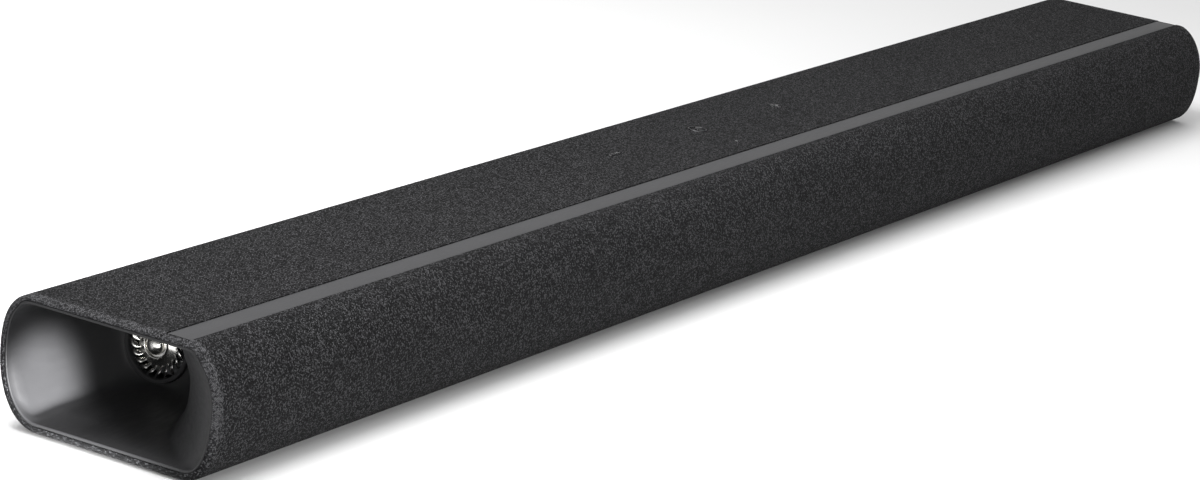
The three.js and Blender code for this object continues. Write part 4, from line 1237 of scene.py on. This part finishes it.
dress(["front_grille", "rear_housing", "front_baffle", "base_panel", "io_panel", "display_module"], HOUSING)
dress(["amplifier_heat_sink"], ALUMINIUM)
dress(["mains_inlet", "optical_socket", "network_socket", "video_socket_in", "video_socket_out"], SOCKET)


# ---- floor, lights and camera
def pale_floor():
    mesh = bpy.data.meshes.new("floor")
    reach = 12.0
    corners = [(-reach, -reach, 0), (reach, -reach, 0), (reach, reach, 0), (-reach, reach, 0)]
    mesh.from_pydata(corners, [], [(0, 1, 2, 3)])
    net = Net("pale_floor")
    place = net.add("TexCoord").outputs["Object"]
    slow = net.noise(place, 900, 2)
    base = net.ramp(slow, [(0.3, (0.75, 0.75, 0.75)), (0.7, (0.78, 0.78, 0.78))])
    mesh.materials.append(net.shade(Base_Color=base, Roughness=0.9, Specular_IOR_Level=0.1))
    placed("floor", mesh)


def aimed_light(name, data, place, forward):
    light = placed(name, data)
    light.location = place
    light.rotation_mode = "QUATERNION"
    light.rotation_quaternion = forward.to_track_quat("-Z", "Y")
    light.visible_camera = False


def soft_light(name, place, target, size, power):
    data = bpy.data.lights.new(name, "AREA")
    data.shape = "RECTANGLE"
    data.size, data.size_y = size
    data.energy = power
    aimed_light(name, data, place, Vector(target) - Vector(place))


def horn_light():
    """A narrow beam through the left mouth onto the horn's rear wall."""
    data = bpy.data.lights.new("horn_beam", "SPOT")
    data.energy = 710
    data.spot_size = math.radians(3.6)
    data.spot_blend = 1.0
    data.shadow_soft_size = 0.008
    target = Vector((-0.540, 0.053, 0.014))
    away = Vector((-0.454, -0.891, 0.006))
    aimed_light("horn_beam", data, target + away, -away)


def studio():
    """Bright low down and high up, dark between, with a soft box above and one at the front left."""
    world = bpy.data.worlds.new("studio")
    world.use_nodes = True
    tree = world.node_tree
    around = tree.nodes.new("ShaderNodeTexCoord").outputs["Generated"]
    split = tree.nodes.new("ShaderNodeSeparateXYZ")
    tree.links.new(around, split.inputs[0])
    ramp = tree.nodes.new("ShaderNodeValToRGB")
    tree.links.new(split.outputs["Z"], ramp.inputs["Fac"])
    stops = ((0.1, 0.43), (0.25, 0.05), (0.55, 0.05), (0.8, 0.6))
    elements = ramp.color_ramp.elements
    while len(elements) < len(stops):
        elements.new(0.5)
    for element, (position, grey) in zip(elements, stops):
        element.position = position
        element.color = (grey, grey, grey, 1)
    background = tree.nodes["Background"].inputs
    background["Strength"].default_value = 2.0
    tree.links.new(ramp.outputs["Color"], background["Color"])
    bpy.context.scene.world = world
    soft_light("overhead", (-0.45, 0.2, 1.2), (-0.5, 0.1, 0), (0.7, 0.9), 22)
    soft_light("front_left", (-1.3, -1.2, 0.5), (-0.5, 0, 0.03), (0.7, 0.4), 13)
    soft_light("end_fill", (-1.65, -0.5, 0.07), (-0.5, 0.0, 0.03), (0.4, 0.1), 2.2)
    horn_light()
    bpy.context.scene.view_settings.view_transform = "Standard"


CAMERA = {
    "place": (-2.01304, -1.05547, 0.61095), "azimuth": 29.1697, "elevation": 15.1417, "roll": -6.6805,
    "lens": 124.709}


def make_camera():
    """A long lens that looks along the bar from its left end, level turned a little."""
    azimuth, elevation, roll = (math.radians(CAMERA[key]) for key in ("azimuth", "elevation", "roll"))
    level = math.cos(elevation)
    forward = Vector((math.cos(azimuth) * level, math.sin(azimuth) * level, -math.sin(elevation)))
    right = Vector((math.sin(azimuth), -math.cos(azimuth), 0))
    down = forward.cross(right)
    turned_right = right * math.cos(roll) + down * math.sin(roll)
    turned_down = down * math.cos(roll) - right * math.sin(roll)
    data = bpy.data.cameras.new("camera")
    data.lens = CAMERA["lens"]
    data.sensor_width = 36
    data.clip_start, data.clip_end = 0.05, 60
    camera = placed("camera", data)
    rotation = Matrix((turned_right, -turned_down, -forward)).transposed()
    camera.matrix_world = Matrix.Translation(CAMERA["place"]) @ rotation.to_4x4()
    bpy.context.scene.camera = camera


pale_floor()
studio()
make_camera()
